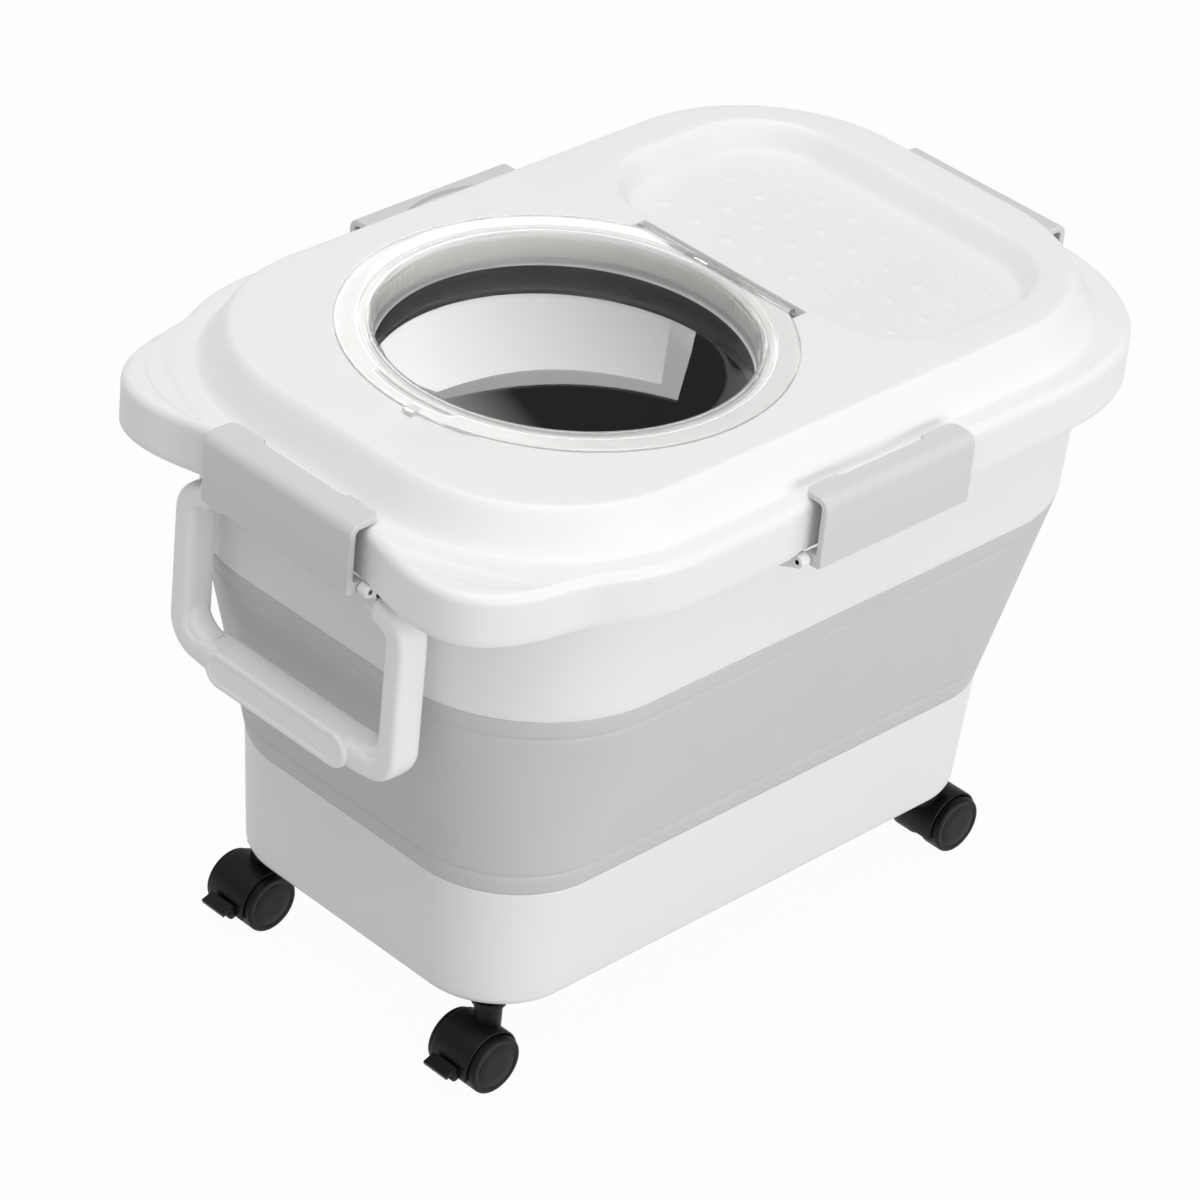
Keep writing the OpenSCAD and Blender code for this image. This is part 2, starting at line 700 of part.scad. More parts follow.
module carry_handle() color(white)
    difference() {
        union() {
            for (s = [-1, 1]) scale([s, 1, 1]) half_handle();
            translate([0, handle_y, z_grip]) rotate([0, 90, 0])
                linear_extrude(2 * (arm_x - handle_r), center = true) section(grip_t, handle_d);
            translate([0, handle_y, z_grip]) rotate([90, 0, 0]) linear_extrude(handle_d / 2 + plate_proud)
                capsule(plate_l, plate_h);
            for (s = [-1, 1]) scale([s, 1, 1]) grip_corner();
        }
        translate([0, handle_y, z_handle]) rotate([0, 90, 0])
            cylinder(r = handle_pin_r + run_fit, h = 2 * (boss_in + pin_grip + side_play), center = true);
    }

// Right half of the bail: pivot tip, bend, arm, bend, in one rounded section
module half_handle() translate([0, handle_y, 0]) {
    bend_x = arm_x - handle_r;
    translate([boss_in, 0, z_handle]) rotate([0, 90, 0]) linear_extrude(bend_x - boss_in) section(arm_t, handle_d);
    translate([bend_x, 0, z_handle - handle_r]) rotate([90, 0, 0]) rotate_extrude(angle = 90)
        translate([handle_r, 0]) section(arm_t, handle_d);
    translate([arm_x, 0, z_grip + handle_r]) linear_extrude(handle_drop - 2 * handle_r) section(arm_t, handle_d);
    translate([bend_x, 0, z_grip + handle_r]) rotate([90, 0, 0]) rotate([0, 0, -90]) rotate_extrude(angle = 90)
        translate([handle_r, 0]) section(arm_t, handle_d);
}

// Fillet in the inner corner between the grip and the right arm
module grip_corner() {
    inner_x = arm_x - arm_t / 2;
    grip_top = z_grip + grip_t / 2;
    translate([0, handle_y, 0]) rotate([90, 0, 0]) linear_extrude(fillet_w, center = true) difference() {
        translate([inner_x - grip_fillet, grip_top - over]) square([grip_fillet + over, grip_fillet + over]);
        translate([inner_x - grip_fillet, grip_top + grip_fillet]) circle(grip_fillet);
    }
}

module section(a, b) {
    square([a - 2 * edge_r, b], center = true);
    square([a, b - 2 * edge_r], center = true);
    for (x = [-1, 1], y = [-1, 1]) translate([x * (a / 2 - edge_r), y * (b / 2 - edge_r)]) circle(edge_r);
}

module capsule(l, h) {
    square([l - h, h], center = true);
    for (x = [-1, 1]) translate([x * (l - h) / 2, 0]) circle(h / 2);
}

module handle_pins() color("lightsteelblue") for (s = [-1, 1])
    translate([s * (ear_in + boss_in + pin_grip) / 2, handle_y, z_handle]) rotate([0, 90, 0])
        cylinder(r = handle_pin_r, h = boss_in + pin_grip - ear_in, center = true);

// Frames of the casters: the origin is on the floor under the stem, the wheels trail towards +Y
module at_stems(list) for (c = list)
    translate([(c[1] == "l" ? -1 : 1) * stem_x, (c[0] == "f" ? -1 : 1) * stem_y, 0])
        rotate([0, 0, c[0] == "f" ? 180 : 0]) children();

module at_axle() translate([0, trail, z_axle]) rotate([0, 90, 0]) children();

module caster_stem() color(black) {
    translate([0, 0, z_tub - stem_plate_t]) cylinder(r = stem_plate_r, h = stem_plate_t);
    translate([0, 0, z_stem + side_play]) cylinder(r = stem_r, h = z_tub - z_stem - side_play);
    translate([0, 0, z_tub]) cylinder(r = plug_r, h = plug_h);
}

module caster_hood(brake) color(black)
    difference() {
        union() {
            intersection() {
                at_axle() cylinder(r = hood_out, h = hood_w, center = true, $fn = 72);
                translate([-caster_w, -caster_w, z_axle - hood_drop]) cube(2 * caster_w);
            }
            translate([0, 0, z_axle]) cylinder(r = neck_r, h = z_neck - z_axle);
            if (brake) for (k = [-1, 1]) translate([k * (brake_w - brake_ear_t) / 2, brake_y, brake_z])
                rotate([0, 90, 0]) brake_ear();
        }
        for (k = [-1, 1]) translate([k * (fork_w / 2 + caster_w / 2), 0, 0])
            at_axle() cylinder(r = hood_in, h = caster_w, center = true, $fn = 72);
        at_axle() cylinder(r = axle_r, h = caster_w, center = true);
        translate([0, 0, z_stem]) cylinder(r = stem_r + run_fit, h = z_tub);
        if (brake) brake_space();
    }

// Ear of the brake lever, with a foot that reaches back into the hood's wall
module brake_ear() {
    foot = brake_y - trail - hood_in;
    cylinder(r = brake_ear_r, h = brake_ear_t, center = true);
    translate([-brake_ear_r, -foot, -brake_ear_t / 2]) cube([brake_ear_r, foot, brake_ear_t]);
}

// Room for the brake lever's barrel between its ears, and the ears' bores
module brake_space() translate([0, brake_y, brake_z]) rotate([0, 90, 0]) {
    cylinder(r = brake_r + side_play, h = brake_w - 2 * brake_ear_t, center = true);
    cylinder(r = trunnion_r + run_fit, h = brake_w + over, center = true);
}

module axle() color("lightsteelblue") at_axle()
    cylinder(r = axle_r, h = 2 * (wheel_in + wheel_w - 2), center = true);

// Wheel with rounded tread corners, a blind bore, a hollow inner side and a ring on its outer face
module wheel(side) color(black) scale([side, 1, 1]) translate([wheel_in, 0, 0]) at_axle() rotate_extrude($fn = 72)
    difference() {
        union() {
            square([wheel_r - tread_r, wheel_w]);
            translate([0, tread_r]) square([wheel_r, wheel_w - 2 * tread_r]);
            for (x = [tread_r, wheel_w - tread_r]) translate([wheel_r - tread_r, x]) circle(tread_r);
        }
        translate([0, -over]) square([axle_r + run_fit, wheel_w - wheel_skin + over]);
        translate([axle_r + hub_wall, -over]) square([wheel_r - axle_r - 2.4 * hub_wall, hub_depth + over]);
        translate([wheel_r * disc_groove[0], wheel_w - disc_groove[1]]) square([disc_groove[2], over]);
    }

// Brake lever: a barrel on trunnions whose arm carries a tilted tab over the ears
module brake_lever() color(black) translate([0, brake_y, brake_z]) rotate([0, 90, 0]) {
    rise = brake_ear_r + seat_gap;
    cylinder(r = trunnion_r, h = brake_w - side_play, center = true);
    linear_extrude(brake_w - 2 * brake_ear_t - side_play, center = true) {
        circle(brake_r);
        rotate(-brake_tilt) translate([-rise - over, -brake_t / 2]) square([rise + over, brake_t]);
    }
    rotate([0, 0, -brake_tilt]) translate([-rise - brake_t, -brake_t / 2 - brake_lip, -brake_w / 2])
        cube([brake_t, brake_l + brake_lip, brake_w]);
}

tub();
fold_band();
collar();
main_lid();
lid_seal();
flip_cover();
flip_cover_seal();
flip_hinge_pin();
on_end(-90) latch(end_hook);  // latch_front
on_end(90) latch(end_hook);  // latch_rear
on_side(180) latch(latch_hook);  // latch_left
on_side(0) latch(latch_hook);  // latch_right
on_end(-90) latch_pin();  // latch_pin_front
on_end(90) latch_pin();  // latch_pin_rear
on_side(180) latch_pin();  // latch_pin_left
on_side(0) latch_pin();  // latch_pin_right
carry_handle();
handle_pins();
for (c = CORNERS) {
    at_stems([c]) caster_stem();
    at_stems([c]) caster_hood(c[0] == "f");
    at_stems([c]) axle();
    for (side = ["left", "right"])
        at_stems([c]) wheel(wheel_side(c, side));
    if (c[0] == "f")
        at_stems([c]) brake_lever();
}
function wheel_side(c, side) = (side == "left" ? -1 : 1) * (c[0] == "f" ? -1 : 1);
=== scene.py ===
"""Collapsible rice bin on casters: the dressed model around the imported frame.

Every shape is a surface worked out with numpy in millimetres, +Z up, front towards -Y, and is written to its
mesh in metres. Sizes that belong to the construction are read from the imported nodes' boxes.
"""

import math

import bmesh
import bpy
import numpy as np
from bpy.props import FloatProperty, FloatVectorProperty, PointerProperty
from bpy.types import Operator, Panel, PropertyGroup
from mathutils import Matrix, Vector


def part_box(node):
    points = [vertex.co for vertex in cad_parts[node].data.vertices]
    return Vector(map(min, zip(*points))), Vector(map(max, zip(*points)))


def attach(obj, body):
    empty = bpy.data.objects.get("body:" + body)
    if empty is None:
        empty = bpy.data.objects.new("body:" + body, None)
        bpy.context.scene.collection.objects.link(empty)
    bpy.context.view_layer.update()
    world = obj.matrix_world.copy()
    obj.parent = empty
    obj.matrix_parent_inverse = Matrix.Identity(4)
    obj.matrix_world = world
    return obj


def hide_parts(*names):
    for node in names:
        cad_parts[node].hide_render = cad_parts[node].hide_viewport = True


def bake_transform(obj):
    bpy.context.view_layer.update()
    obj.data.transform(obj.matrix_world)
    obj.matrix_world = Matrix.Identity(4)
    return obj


bl_info = {
    "name": "Rice bin with flip lid",
    "version": (1, 0, 0),
    "blender": (4, 5, 0),
    "location": "View3D > Sidebar > Rice bin",
    "description": "Builds the moulded shells, clear flip cover, latches, handle and casters of a rice bin",
    "category": "Add Mesh",
}

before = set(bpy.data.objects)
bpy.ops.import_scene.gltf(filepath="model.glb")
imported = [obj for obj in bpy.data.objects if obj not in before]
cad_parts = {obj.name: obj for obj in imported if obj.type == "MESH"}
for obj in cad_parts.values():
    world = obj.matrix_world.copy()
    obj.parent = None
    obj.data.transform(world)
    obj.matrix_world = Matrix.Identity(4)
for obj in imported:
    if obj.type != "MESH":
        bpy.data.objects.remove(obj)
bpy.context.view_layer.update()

MM = 0.001


def span(node):
    """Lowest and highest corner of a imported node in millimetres."""
    low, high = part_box(node)
    return np.array(low) / MM, np.array(high) / MM


def middle_of(node):
    """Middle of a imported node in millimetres."""
    low, high = span(node)
    return (low + high) / 2


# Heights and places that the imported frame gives
TUB_LOW, TUB_HIGH = span("tub")
BAND_HIGH = span("fold_band")[1]
LID_LOW, LID_HIGH = span("main_lid")
Z_TUB, Z_BAND, Z_COLLAR = TUB_LOW[2], TUB_HIGH[2], BAND_HIGH[2]
Z_RIM = span("lid_seal")[0][2]
Z_SKIRT, Z_DECK = LID_LOW[2], LID_HIGH[2]
SIDE_PIVOT, _, Z_PIVOT = middle_of("latch_pin_right")
END_PIVOT = middle_of("latch_pin_rear")[1]
_, Y_HANDLE, Z_HANDLE = middle_of("handle_pins")
_, Y_HINGE, Z_HINGE = middle_of("flip_hinge_pin")
STEM_X, STEM_Y = middle_of("caster_stem_fr")[:2] * [1, -1]
_, Y_AXLE, Z_AXLE = middle_of("axle_rr")
TRAIL = Y_AXLE - STEM_Y

# Body: width, length and corner radius at four heights, even between them
WALL, BAND_WALL = 2.5, 2.0
BODY_HEIGHTS = (Z_TUB, Z_BAND, Z_COLLAR, Z_RIM)
BODY_WIDTHS = (205, 2 * TUB_HIGH[0], 2 * BAND_HIGH[0], 2 * BAND_HIGH[0] + 7)
BODY_LENGTHS = (352, 2 * TUB_HIGH[1], 2 * BAND_HIGH[1], 2 * BAND_HIGH[1] + 7)
BODY_RADII = (44, 55, 82, 85.5)

# Lid: deck, shoulder, flange and tray
DECK_W, DECK_L, DECK_R = 290.0, 445.0, 102.5
DECK_CX, DECK_CY = DECK_W / 2 - DECK_R, DECK_L / 2 - DECK_R
SHOULDER = 17.0
Z_FLANGE = Z_DECK - 21.0
FLANGE, SWELL, LOBE, REAR_LOBE = 9.0, 2.4, 25.0, 6.5
EDGE_R = 5.0
TRAY_W, TRAY_R, TRAY_RUN, TRAY_DEPTH = 219.0, 50.0, 11.0, 13.3
TRAY_FRONT, TRAY_REAR = Y_HINGE + 6.1, DECK_L / 2 - 38.5
TRAY_Y, TRAY_L = (TRAY_FRONT + TRAY_REAR) / 2, TRAY_REAR - TRAY_FRONT

# Flip cover and its recess, throat and hinge pocket
COVER_R, COVER_Y, COVER_T = 110.0, -61.0, 2.3
RECESS_R = COVER_R + 0.5
Z_LEDGE = Z_DECK + 0.4 - COVER_T
Z_SEAT = Z_LEDGE - 0.3
THROAT_R, THROAT_H = 96.0, 27.0
CUP_R, SPIGOT_R = 92.0, 94.3
Z_PANE = Z_DECK - 17.0
CATCH, NOTCH = math.radians(-84), 3.5
BARREL_R = 2.8
HINGE_HALF = 49.5
POCKET_HALF, POCKET_FRONT, POCKET_BACK = 55.5, Y_HINGE - 3.3, Y_HINGE + 4.1

# Latches and the ears that carry them, handle, casters
LATCH_L, SIDE_HOOK, END_HOOK = 101.0, 6.3, 8.8
EAR_INSIDE, EAR_T = LATCH_L / 2 + 0.5, 6.0
ARM_X, ARM_BEND = 73.0, 13.0
Z_GRIP = Z_HANDLE - 84.0
WHEEL_R, WHEEL_W, WHEEL_GAP = 15.5, 12.5, 4.0
GUARD_R, NECK_R, NECK_TOP = 16.0, 7.0, 42.4


# ---------------------------------------------------------------- shapes


def smooth(t, a, b):
    """Smooth step: 0 at a, 1 at b, u * u * (3 - 2u) between them."""
    u = np.clip((np.asarray(t, float) - a) / (b - a), 0, 1)
    return u * u * (3 - 2 * u)


def grid_faces(rows, cols, wrap_rows=False, wrap_cols=False, start=0):
    """Quads of a grid of rows x cols points; (i, j) joins (i, j + 1), (i + 1, j + 1) and (i + 1, j)."""
    i = np.arange(rows if wrap_rows else rows - 1)[:, None]
    j = np.arange(cols if wrap_cols else cols - 1)[None, :]
    ii, jj = (i + 1) % rows, (j + 1) % cols
    quads = np.stack([i * cols + j, i * cols + jj, ii * cols + jj, ii * cols + j], -1)
    return quads.reshape(-1, 4) + start


class Surface:
    """Collects the grids and flat ends of one piece before they become its mesh."""

    def __init__(self):
        self.points, self.faces, self.marks, self.count = [], [], [], 0

    def grid(self, points, wrap_rows=False, wrap_cols=False, row_marks=0):
        """Adds a rows x columns x 3 grid of points, with one material index or one for each row of quads."""
        rows, cols = points.shape[:2]
        faces = grid_faces(rows, cols, wrap_rows, wrap_cols, self.count)
        self.points.append(points.reshape(-1, 3))
        self.faces += faces.tolist()
        self.marks += np.repeat(row_marks, len(faces) // np.size(row_marks)).tolist()
        self.count += rows * cols
        return self

    def cap(self, ring, mark=0):
        """Adds a flat end inside a ring of points, as one polygon whose order gives its side."""
        self.points.append(np.asarray(ring, float))
        self.faces.append(list(range(self.count, self.count + len(ring))))
        self.marks.append(mark)
        self.count += len(ring)
        return self

    def add(self, other):
        """Adds another surface as it is."""
        self.points += other.points
        self.faces += [[k + self.count for k in face] for face in other.faces]
        self.marks += other.marks
        self.count += other.count
        return self

    def moved(self, matrix):
        """The same surface after a 4 x 4 matrix, with its faces turned over where the matrix mirrors."""
        made = Surface()
        m = np.array(matrix, float)
        made.points = [p @ m[:3, :3].T + m[:3, 3] for p in self.points]
        flip = np.linalg.det(m[:3, :3]) < 0
        made.faces = [face[::-1] for face in self.faces] if flip else [list(f) for f in self.faces]
        made.marks, made.count = list(self.marks), self.count
        return made

    def build(self, name, materials, sharp=35.0, weld=0.002):
        """Makes the object at the origin: welded within weld mm, smooth but for edges over sharp degrees."""
        mesh = bpy.data.meshes.new(name)
        mesh.from_pydata((np.vstack(self.points) * MM).tolist(), [], self.faces)
        mesh.polygons.foreach_set("material_index", self.marks)
        work = bmesh.new()
        work.from_mesh(mesh)
        bmesh.ops.remove_doubles(work, verts=work.verts, dist=weld * MM)
        bmesh.ops.dissolve_degenerate(work, edges=work.edges, dist=1e-7)
        work.to_mesh(mesh)
        work.free()
        mesh.shade_smooth()
        mesh.set_sharp_from_angle(angle=math.radians(sharp))
        for material in materials:
            mesh.materials.append(material)
        mesh.validate()
        piece = bpy.data.objects.new(name, mesh)
        bpy.context.scene.collection.objects.link(piece)
        return piece


def tube(grid, foot=True, marks=0, end_mark=0):
    """Solid from rings joined round, with a flat end inside the last ring and, if foot, inside the first."""
    made = Surface().grid(grid, wrap_cols=True, row_marks=marks)
    if foot:
        made.cap(grid[0][::-1], end_mark)
    return made.cap(grid[-1], end_mark)


def arc(cx, cy, r, start, end, steps):
    """Points of an arc round (cx, cy) from start to end degrees."""
    a = np.radians(np.linspace(start, end, steps + 1))
    return np.stack([cx + r * np.cos(a), cy + r * np.sin(a)], -1)


def quarter_turn(radius, steps):
    """Offsets from a corner's first and second face along a quarter circle that rounds it."""
    a = np.radians(np.linspace(0, 90, steps + 1))
    return np.stack([radius * (1 - np.cos(a)), radius * (1 - np.sin(a))], -1)


def lathe(profile, steps=96, foot=True):
    """Solid of revolution about +Z of (radius, height) points that climb the outside."""
    a = np.radians(np.linspace(0, 360, steps, endpoint=False))
    p = np.asarray(profile, float)
    r, z = p[:, :1], p[:, 1:]
    return tube(np.stack([r * np.cos(a), r * np.sin(a), np.repeat(z, steps, 1)], -1), foot)


class Outline:
    """Rounded rectangle: corner circles joined by straight runs. A point is its share of the corner's
    centre plus the radius along its normal."""

    def __init__(self, corner_steps=40, side=20, end=12, side_at=(), end_at=()):
        a = np.linspace(0, 90, corner_steps + 1)
        centres, angles = [], []
        sides = np.array(sorted(set(np.linspace(-1, 1, side + 1)[1:-1]) | set(side_at)))
        ends = np.array(sorted(set(np.linspace(-1, 1, end + 1)[1:-1]) | set(end_at)))
        for q, (sx, sy) in enumerate([(1, 1), (-1, 1), (-1, -1), (1, -1)]):
            run = (sides if q % 2 else ends)[::-1 if q < 2 else 1]
            run = np.stack([np.full(len(run), sx), run] if q % 2 else [run, np.full(len(run), sy)], -1)
            centres += [np.tile([sx, sy], (len(a), 1)), run]
            angles += [90 * q + a, np.full(len(run), 90.0 * (q + 1))]
        self.centre = np.vstack(centres).astype(float)
        a = np.radians(np.concatenate(angles))
        self.normal = np.stack([np.cos(a), np.sin(a)], -1)

    def ring(self, width, length, radius, z):
        """Ring of points at height z."""
        half = np.array([width / 2 - radius, length / 2 - radius])
        flat = self.centre * half + self.normal * radius
        return np.column_stack([flat, np.full(len(flat), z)])


SHELL = Outline(48, 24, 16)


def body_rings(levels):
    """Rings of the body at (height, inset from its outer face)."""
    rings = []
    for z, inset in levels:
        w, l, r = (np.interp(z, BODY_HEIGHTS, sizes) for sizes in (BODY_WIDTHS, BODY_LENGTHS, BODY_RADII))
        rings.append(SHELL.ring(w - 2 * inset, l - 2 * inset, r - inset, z))
    return rings


def tub_surface():
    """Cup: fillets round the floor's edge inside and out, and a rounded lip."""
    fillet, lip, floor = 5.0, 0.6, Z_TUB + WALL
    turn = quarter_turn(fillet, 6)
    levels = [(Z_TUB, 60), (Z_TUB, 20)] + [(Z_TUB + rise, inset) for rise, inset in turn]
    levels += [(z, 0) for z in np.linspace(Z_TUB + 12, Z_BAND - lip - 1, 6)]
    levels += [(Z_BAND - lip, 0), (Z_BAND - lip * 0.3, lip * 0.3), (Z_BAND, lip)]
    levels += [(Z_BAND, WALL - lip), (Z_BAND - lip, WALL)]
    levels += [(floor + rise, WALL + inset) for rise, inset in turn[::-1]] + [(floor, 20), (floor, 60)]
    return tube(np.array(body_rings(levels)))


def band_surface():
    """Soft wall with a fold line near each edge, a bell-shaped groove, and softened lips."""
    lip = np.array([(0, 0.5), (0.4, 0.12), (1.0, 0)])
    offset = np.array([-4, -1.5, -0.7, -0.25, 0, 0.25, 0.7, 1.5, 4])
    fold = np.stack([offset, 0.8 * np.exp(-((offset / 0.75) ** 2))], -1)
    levels = [*(lip + [Z_BAND, 0]), *(fold + [Z_BAND + 12, 0])]
    levels += [(z, 0) for z in np.linspace(Z_BAND + 18, Z_COLLAR - 18, 22)]
    levels += [*(fold + [Z_COLLAR - 12, 0]), *(lip[::-1] * [-1, 1] + [Z_COLLAR, 0])]
    levels += [(z, BAND_WALL) for z in np.linspace(Z_COLLAR, Z_BAND, 30)]
    return Surface().grid(np.array(body_rings(levels)), wrap_rows=True, wrap_cols=True)


def collar_surface():
    """Flared wall, closed at the rim by the plate that carries the lid's seal."""
    lip, plate = 0.6, 5.0
    levels = [(Z_COLLAR, lip), (Z_COLLAR + lip * 0.3, lip * 0.3), (Z_COLLAR + lip, 0)]
    rings = body_rings(levels + [(z, 0) for z in np.linspace(Z_COLLAR + 4, Z_RIM - WALL, 12)])
    rings += [deck_ring(0, plate, z) for z in (Z_RIM - WALL, Z_RIM)]
    rings += body_rings([(z, WALL) for z in np.linspace(Z_RIM, Z_COLLAR + lip, 8)] + [(Z_COLLAR, WALL - lip)])
    return Surface().grid(np.array(rings), wrap_rows=True, wrap_cols=True)


def front_flange(a):
    """Flange width at the front, a degrees round from the side: it swells to the lobe, falls to the latch."""
    return FLANGE + SWELL * (1 - smooth(a, 20, 60)) + LOBE * smooth(a, 26, 57) * (1 - smooth(a, 57, 90))


def rear_flange(a):
    """Flange width at the rear, where the corners swell a little."""
    return FLANGE + SWELL * (1 - smooth(a, 20, 60)) + REAR_LOBE * np.sin(np.radians(2 * a)) ** 2


def deck_points(outline):
    """Foot of the deck, its normal and the flange's width there, for each point of an outline."""
    flat = outline.centre * [DECK_CX, DECK_CY] + outline.normal * DECK_R
    share = outline.centre[:, 1]
    steep = np.clip(np.abs(outline.normal[:, 1]), 0, 1)
    from_side = np.degrees(np.arcsin(steep))
    straight = FLANGE + SWELL * smooth(np.abs(share * DECK_CY), LATCH_L / 2 + 2, LATCH_L / 2 + 14)
    corner = np.where(share < 0, front_flange(from_side), rear_flange(from_side))
    return flat, outline.normal, np.where((steep < 1e-9) & (np.abs(share) < 1), straight, corner)


def deck_ring(share, out, z, outline=SHELL):
    """Ring at share of the flange's width, plus out, outside the deck's foot."""
    flat, normal, width = deck_points(outline)
    p = flat + normal * (share * width + out)[:, None]
    return np.column_stack([p, np.full(len(p), z)])


# Runs of the lid's outline have points where the tray and the cover's recess divide the deck
Y_SPLIT = Y_HINGE + 5.1
CATCH_HALF = math.asin(NOTCH / RECESS_R)
FRONT_EDGE = -(DECK_L / 2 - SHOULDER) - COVER_Y
CATCH_XS = [FRONT_EDGE / math.tan(CATCH + k * CATCH_HALF) for k in (-1.02, -0.98, 0.98, 1.02)]
LID = Outline(76, 40, 40, side_at=(Y_SPLIT / DECK_CY,), end_at=tuple(x / DECK_CX for x in CATCH_XS))


def crescents(x, y):
    """1 inside the crescent finger recess of each front lobe, 0 outside, with soft edges. A crescent lies
    between two arcs through the same tips, which bulge over their chord by the two amounts given."""
    start = np.array([-LATCH_L / 2 - 12.5, -(DECK_L / 2 + FLANGE)])
    end = np.array([8.5 - DECK_W / 2, 28 - DECK_L / 2])
    outer_bulge, inner_bulge = 15.0, 3.5
    chord = np.hypot(*(end - start))
    along = (end - start) / chord
    u = (-np.abs(x) - start[0]) * along[0] + (y - start[1]) * along[1] - chord / 2
    v = (y - start[1]) * along[0] - (-np.abs(x) - start[0]) * along[1]

    def inside(bulge):
        r = ((chord / 2) ** 2 + bulge**2) / (2 * bulge)
        return r - np.hypot(u, v - (bulge - r))

    return smooth(np.minimum(inside(outer_bulge), -inside(inner_bulge)), -0.9, 1.6)


def skirt_grid():
    """From the skirt's rounded foot over the flange's edge, in along the flange and up the shoulder."""
    crescent_depth, rise = 1.6, Z_DECK - Z_FLANGE
    levels = [(1, out, Z_SKIRT + z) for out, z in [(-1.0, 0), (-0.3, 0.3), (0, 1.0)]]
    levels += [(1, 0, z) for z in np.linspace(Z_SKIRT + 4, Z_FLANGE - EDGE_R, 6)]
    levels += [(1, -inset, Z_FLANGE - drop) for inset, drop in quarter_turn(EDGE_R, 8)[1:]]
    levels += [(s, -EDGE_R * s, Z_FLANGE) for s in np.linspace(1, 0, 23)[1:]]
    levels += [(0, -SHOULDER * t, Z_FLANGE + rise * float(smooth(t, 0, 1)))
               for t in np.linspace(0, 1, 21)[1:]]
    grid = np.array([deck_ring(*level, LID) for level in levels])
    on_flange = np.abs(grid[..., 2] - Z_FLANGE) < 1e-6
    grid[..., 2] -= np.where(on_flange, crescent_depth * crescents(grid[..., 0], grid[..., 1]), 0)
    return grid


def ray_rounded(angle, width, length, radius):
    """Distance from the middle of a rounded rectangle to its edge in each direction."""
    c, s = np.abs(np.cos(angle)), np.abs(np.sin(angle))
    a, b = width / 2, length / 2
    straight = np.minimum(a / np.maximum(c, 1e-9), b / np.maximum(s, 1e-9))
    px, py = straight * c, straight * s
    cx, cy = a - radius, b - radius
    dot = cx * c + cy * s
    root = np.sqrt(np.maximum(dot**2 - (cx**2 + cy**2 - radius**2), 0))
    return np.where((px > cx) & (py > cy), dot + root, straight)


def ray_box(direction, half, back):
    """Distance from the middle to the nearer of two sides at x = +-half and a rear edge at y = back."""
    c, s = direction.T
    return np.minimum(half / np.maximum(np.abs(c), 1e-9), back / np.maximum(s, 1e-9))


def from_catch(angle):
    """Turn from the catch's direction, at most half a turn to either side."""
    return np.abs((angle - CATCH + math.pi) % (2 * math.pi) - math.pi)


def recess_radius(angle, direction):
    """Edge of the cover's recess from its middle: a disc, cut off along the hinge pocket, with a notch."""
    c, s = direction.T
    box = ray_box(direction, POCKET_HALF, POCKET_BACK - COVER_Y)
    r = np.where((s > 0) & (np.abs(RECESS_R * c) < POCKET_HALF), box, RECESS_R)
    return np.where(from_catch(angle) < CATCH_HALF, RECESS_R + NOTCH, r)


def dish(x, y):
    """Depth of the shallow thumb dish in the deck in front of the cover."""
    middle_x, middle_y, radius, depth = 26, -169, 24, 1.8
    d = np.hypot(x - middle_x, y - middle_y)
    return depth * np.clip(1 - (d / radius) ** 2, 0, 1) ** 1.2


def deck_loop(part):
    """Closed loop of the deck's edge in front of the split line (part -1) or behind it (1), and that line."""
    ring = deck_ring(0, -SHOULDER, Z_DECK, LID)
    edge_x = DECK_W / 2 - SHOULDER
    turns = (math.sqrt(RECESS_R**2 - POCKET_HALF**2), POCKET_FRONT - COVER_Y, POCKET_BACK - COVER_Y)
    corners = [POCKET_HALF * (Y_SPLIT - COVER_Y) / k for k in turns]
    marks = [side * (x + e) for x in corners for e in (-0.05, 0.05) for side in (-1, 1)]
    xs = np.array(sorted({*np.round(np.linspace(-edge_x, edge_x, 61)[1:-1], 6), *marks}))[::part]
    ring = ring[part * (ring[:, 1] - Y_SPLIT) >= -1e-6]
    start = np.argmin(np.hypot(ring[:, 0] - part * edge_x, ring[:, 1] - Y_SPLIT))
    line = np.column_stack([xs, np.full(len(xs), Y_SPLIT), np.full(len(xs), Z_DECK)])
    return np.vstack([np.roll(ring, -start, axis=0), line])


def rulings(loop, middle):
    """Distance, angle and direction of each point of a loop from a middle."""
    flat = loop[:, :2] - middle
    far = np.hypot(*flat.T)
    return far, np.arctan2(flat[:, 1], flat[:, 0]), flat / far[:, None]


def polar(middle, direction, rows):
    """x, y and z of rows of (radius, height) along directions, each one number or one per direction."""
    r, z = (np.array([np.broadcast_to(row[k], len(direction)) for row in rows]) for k in (0, 1))
    return middle[0] + r * direction[:, 0], middle[1] + r * direction[:, 1], z


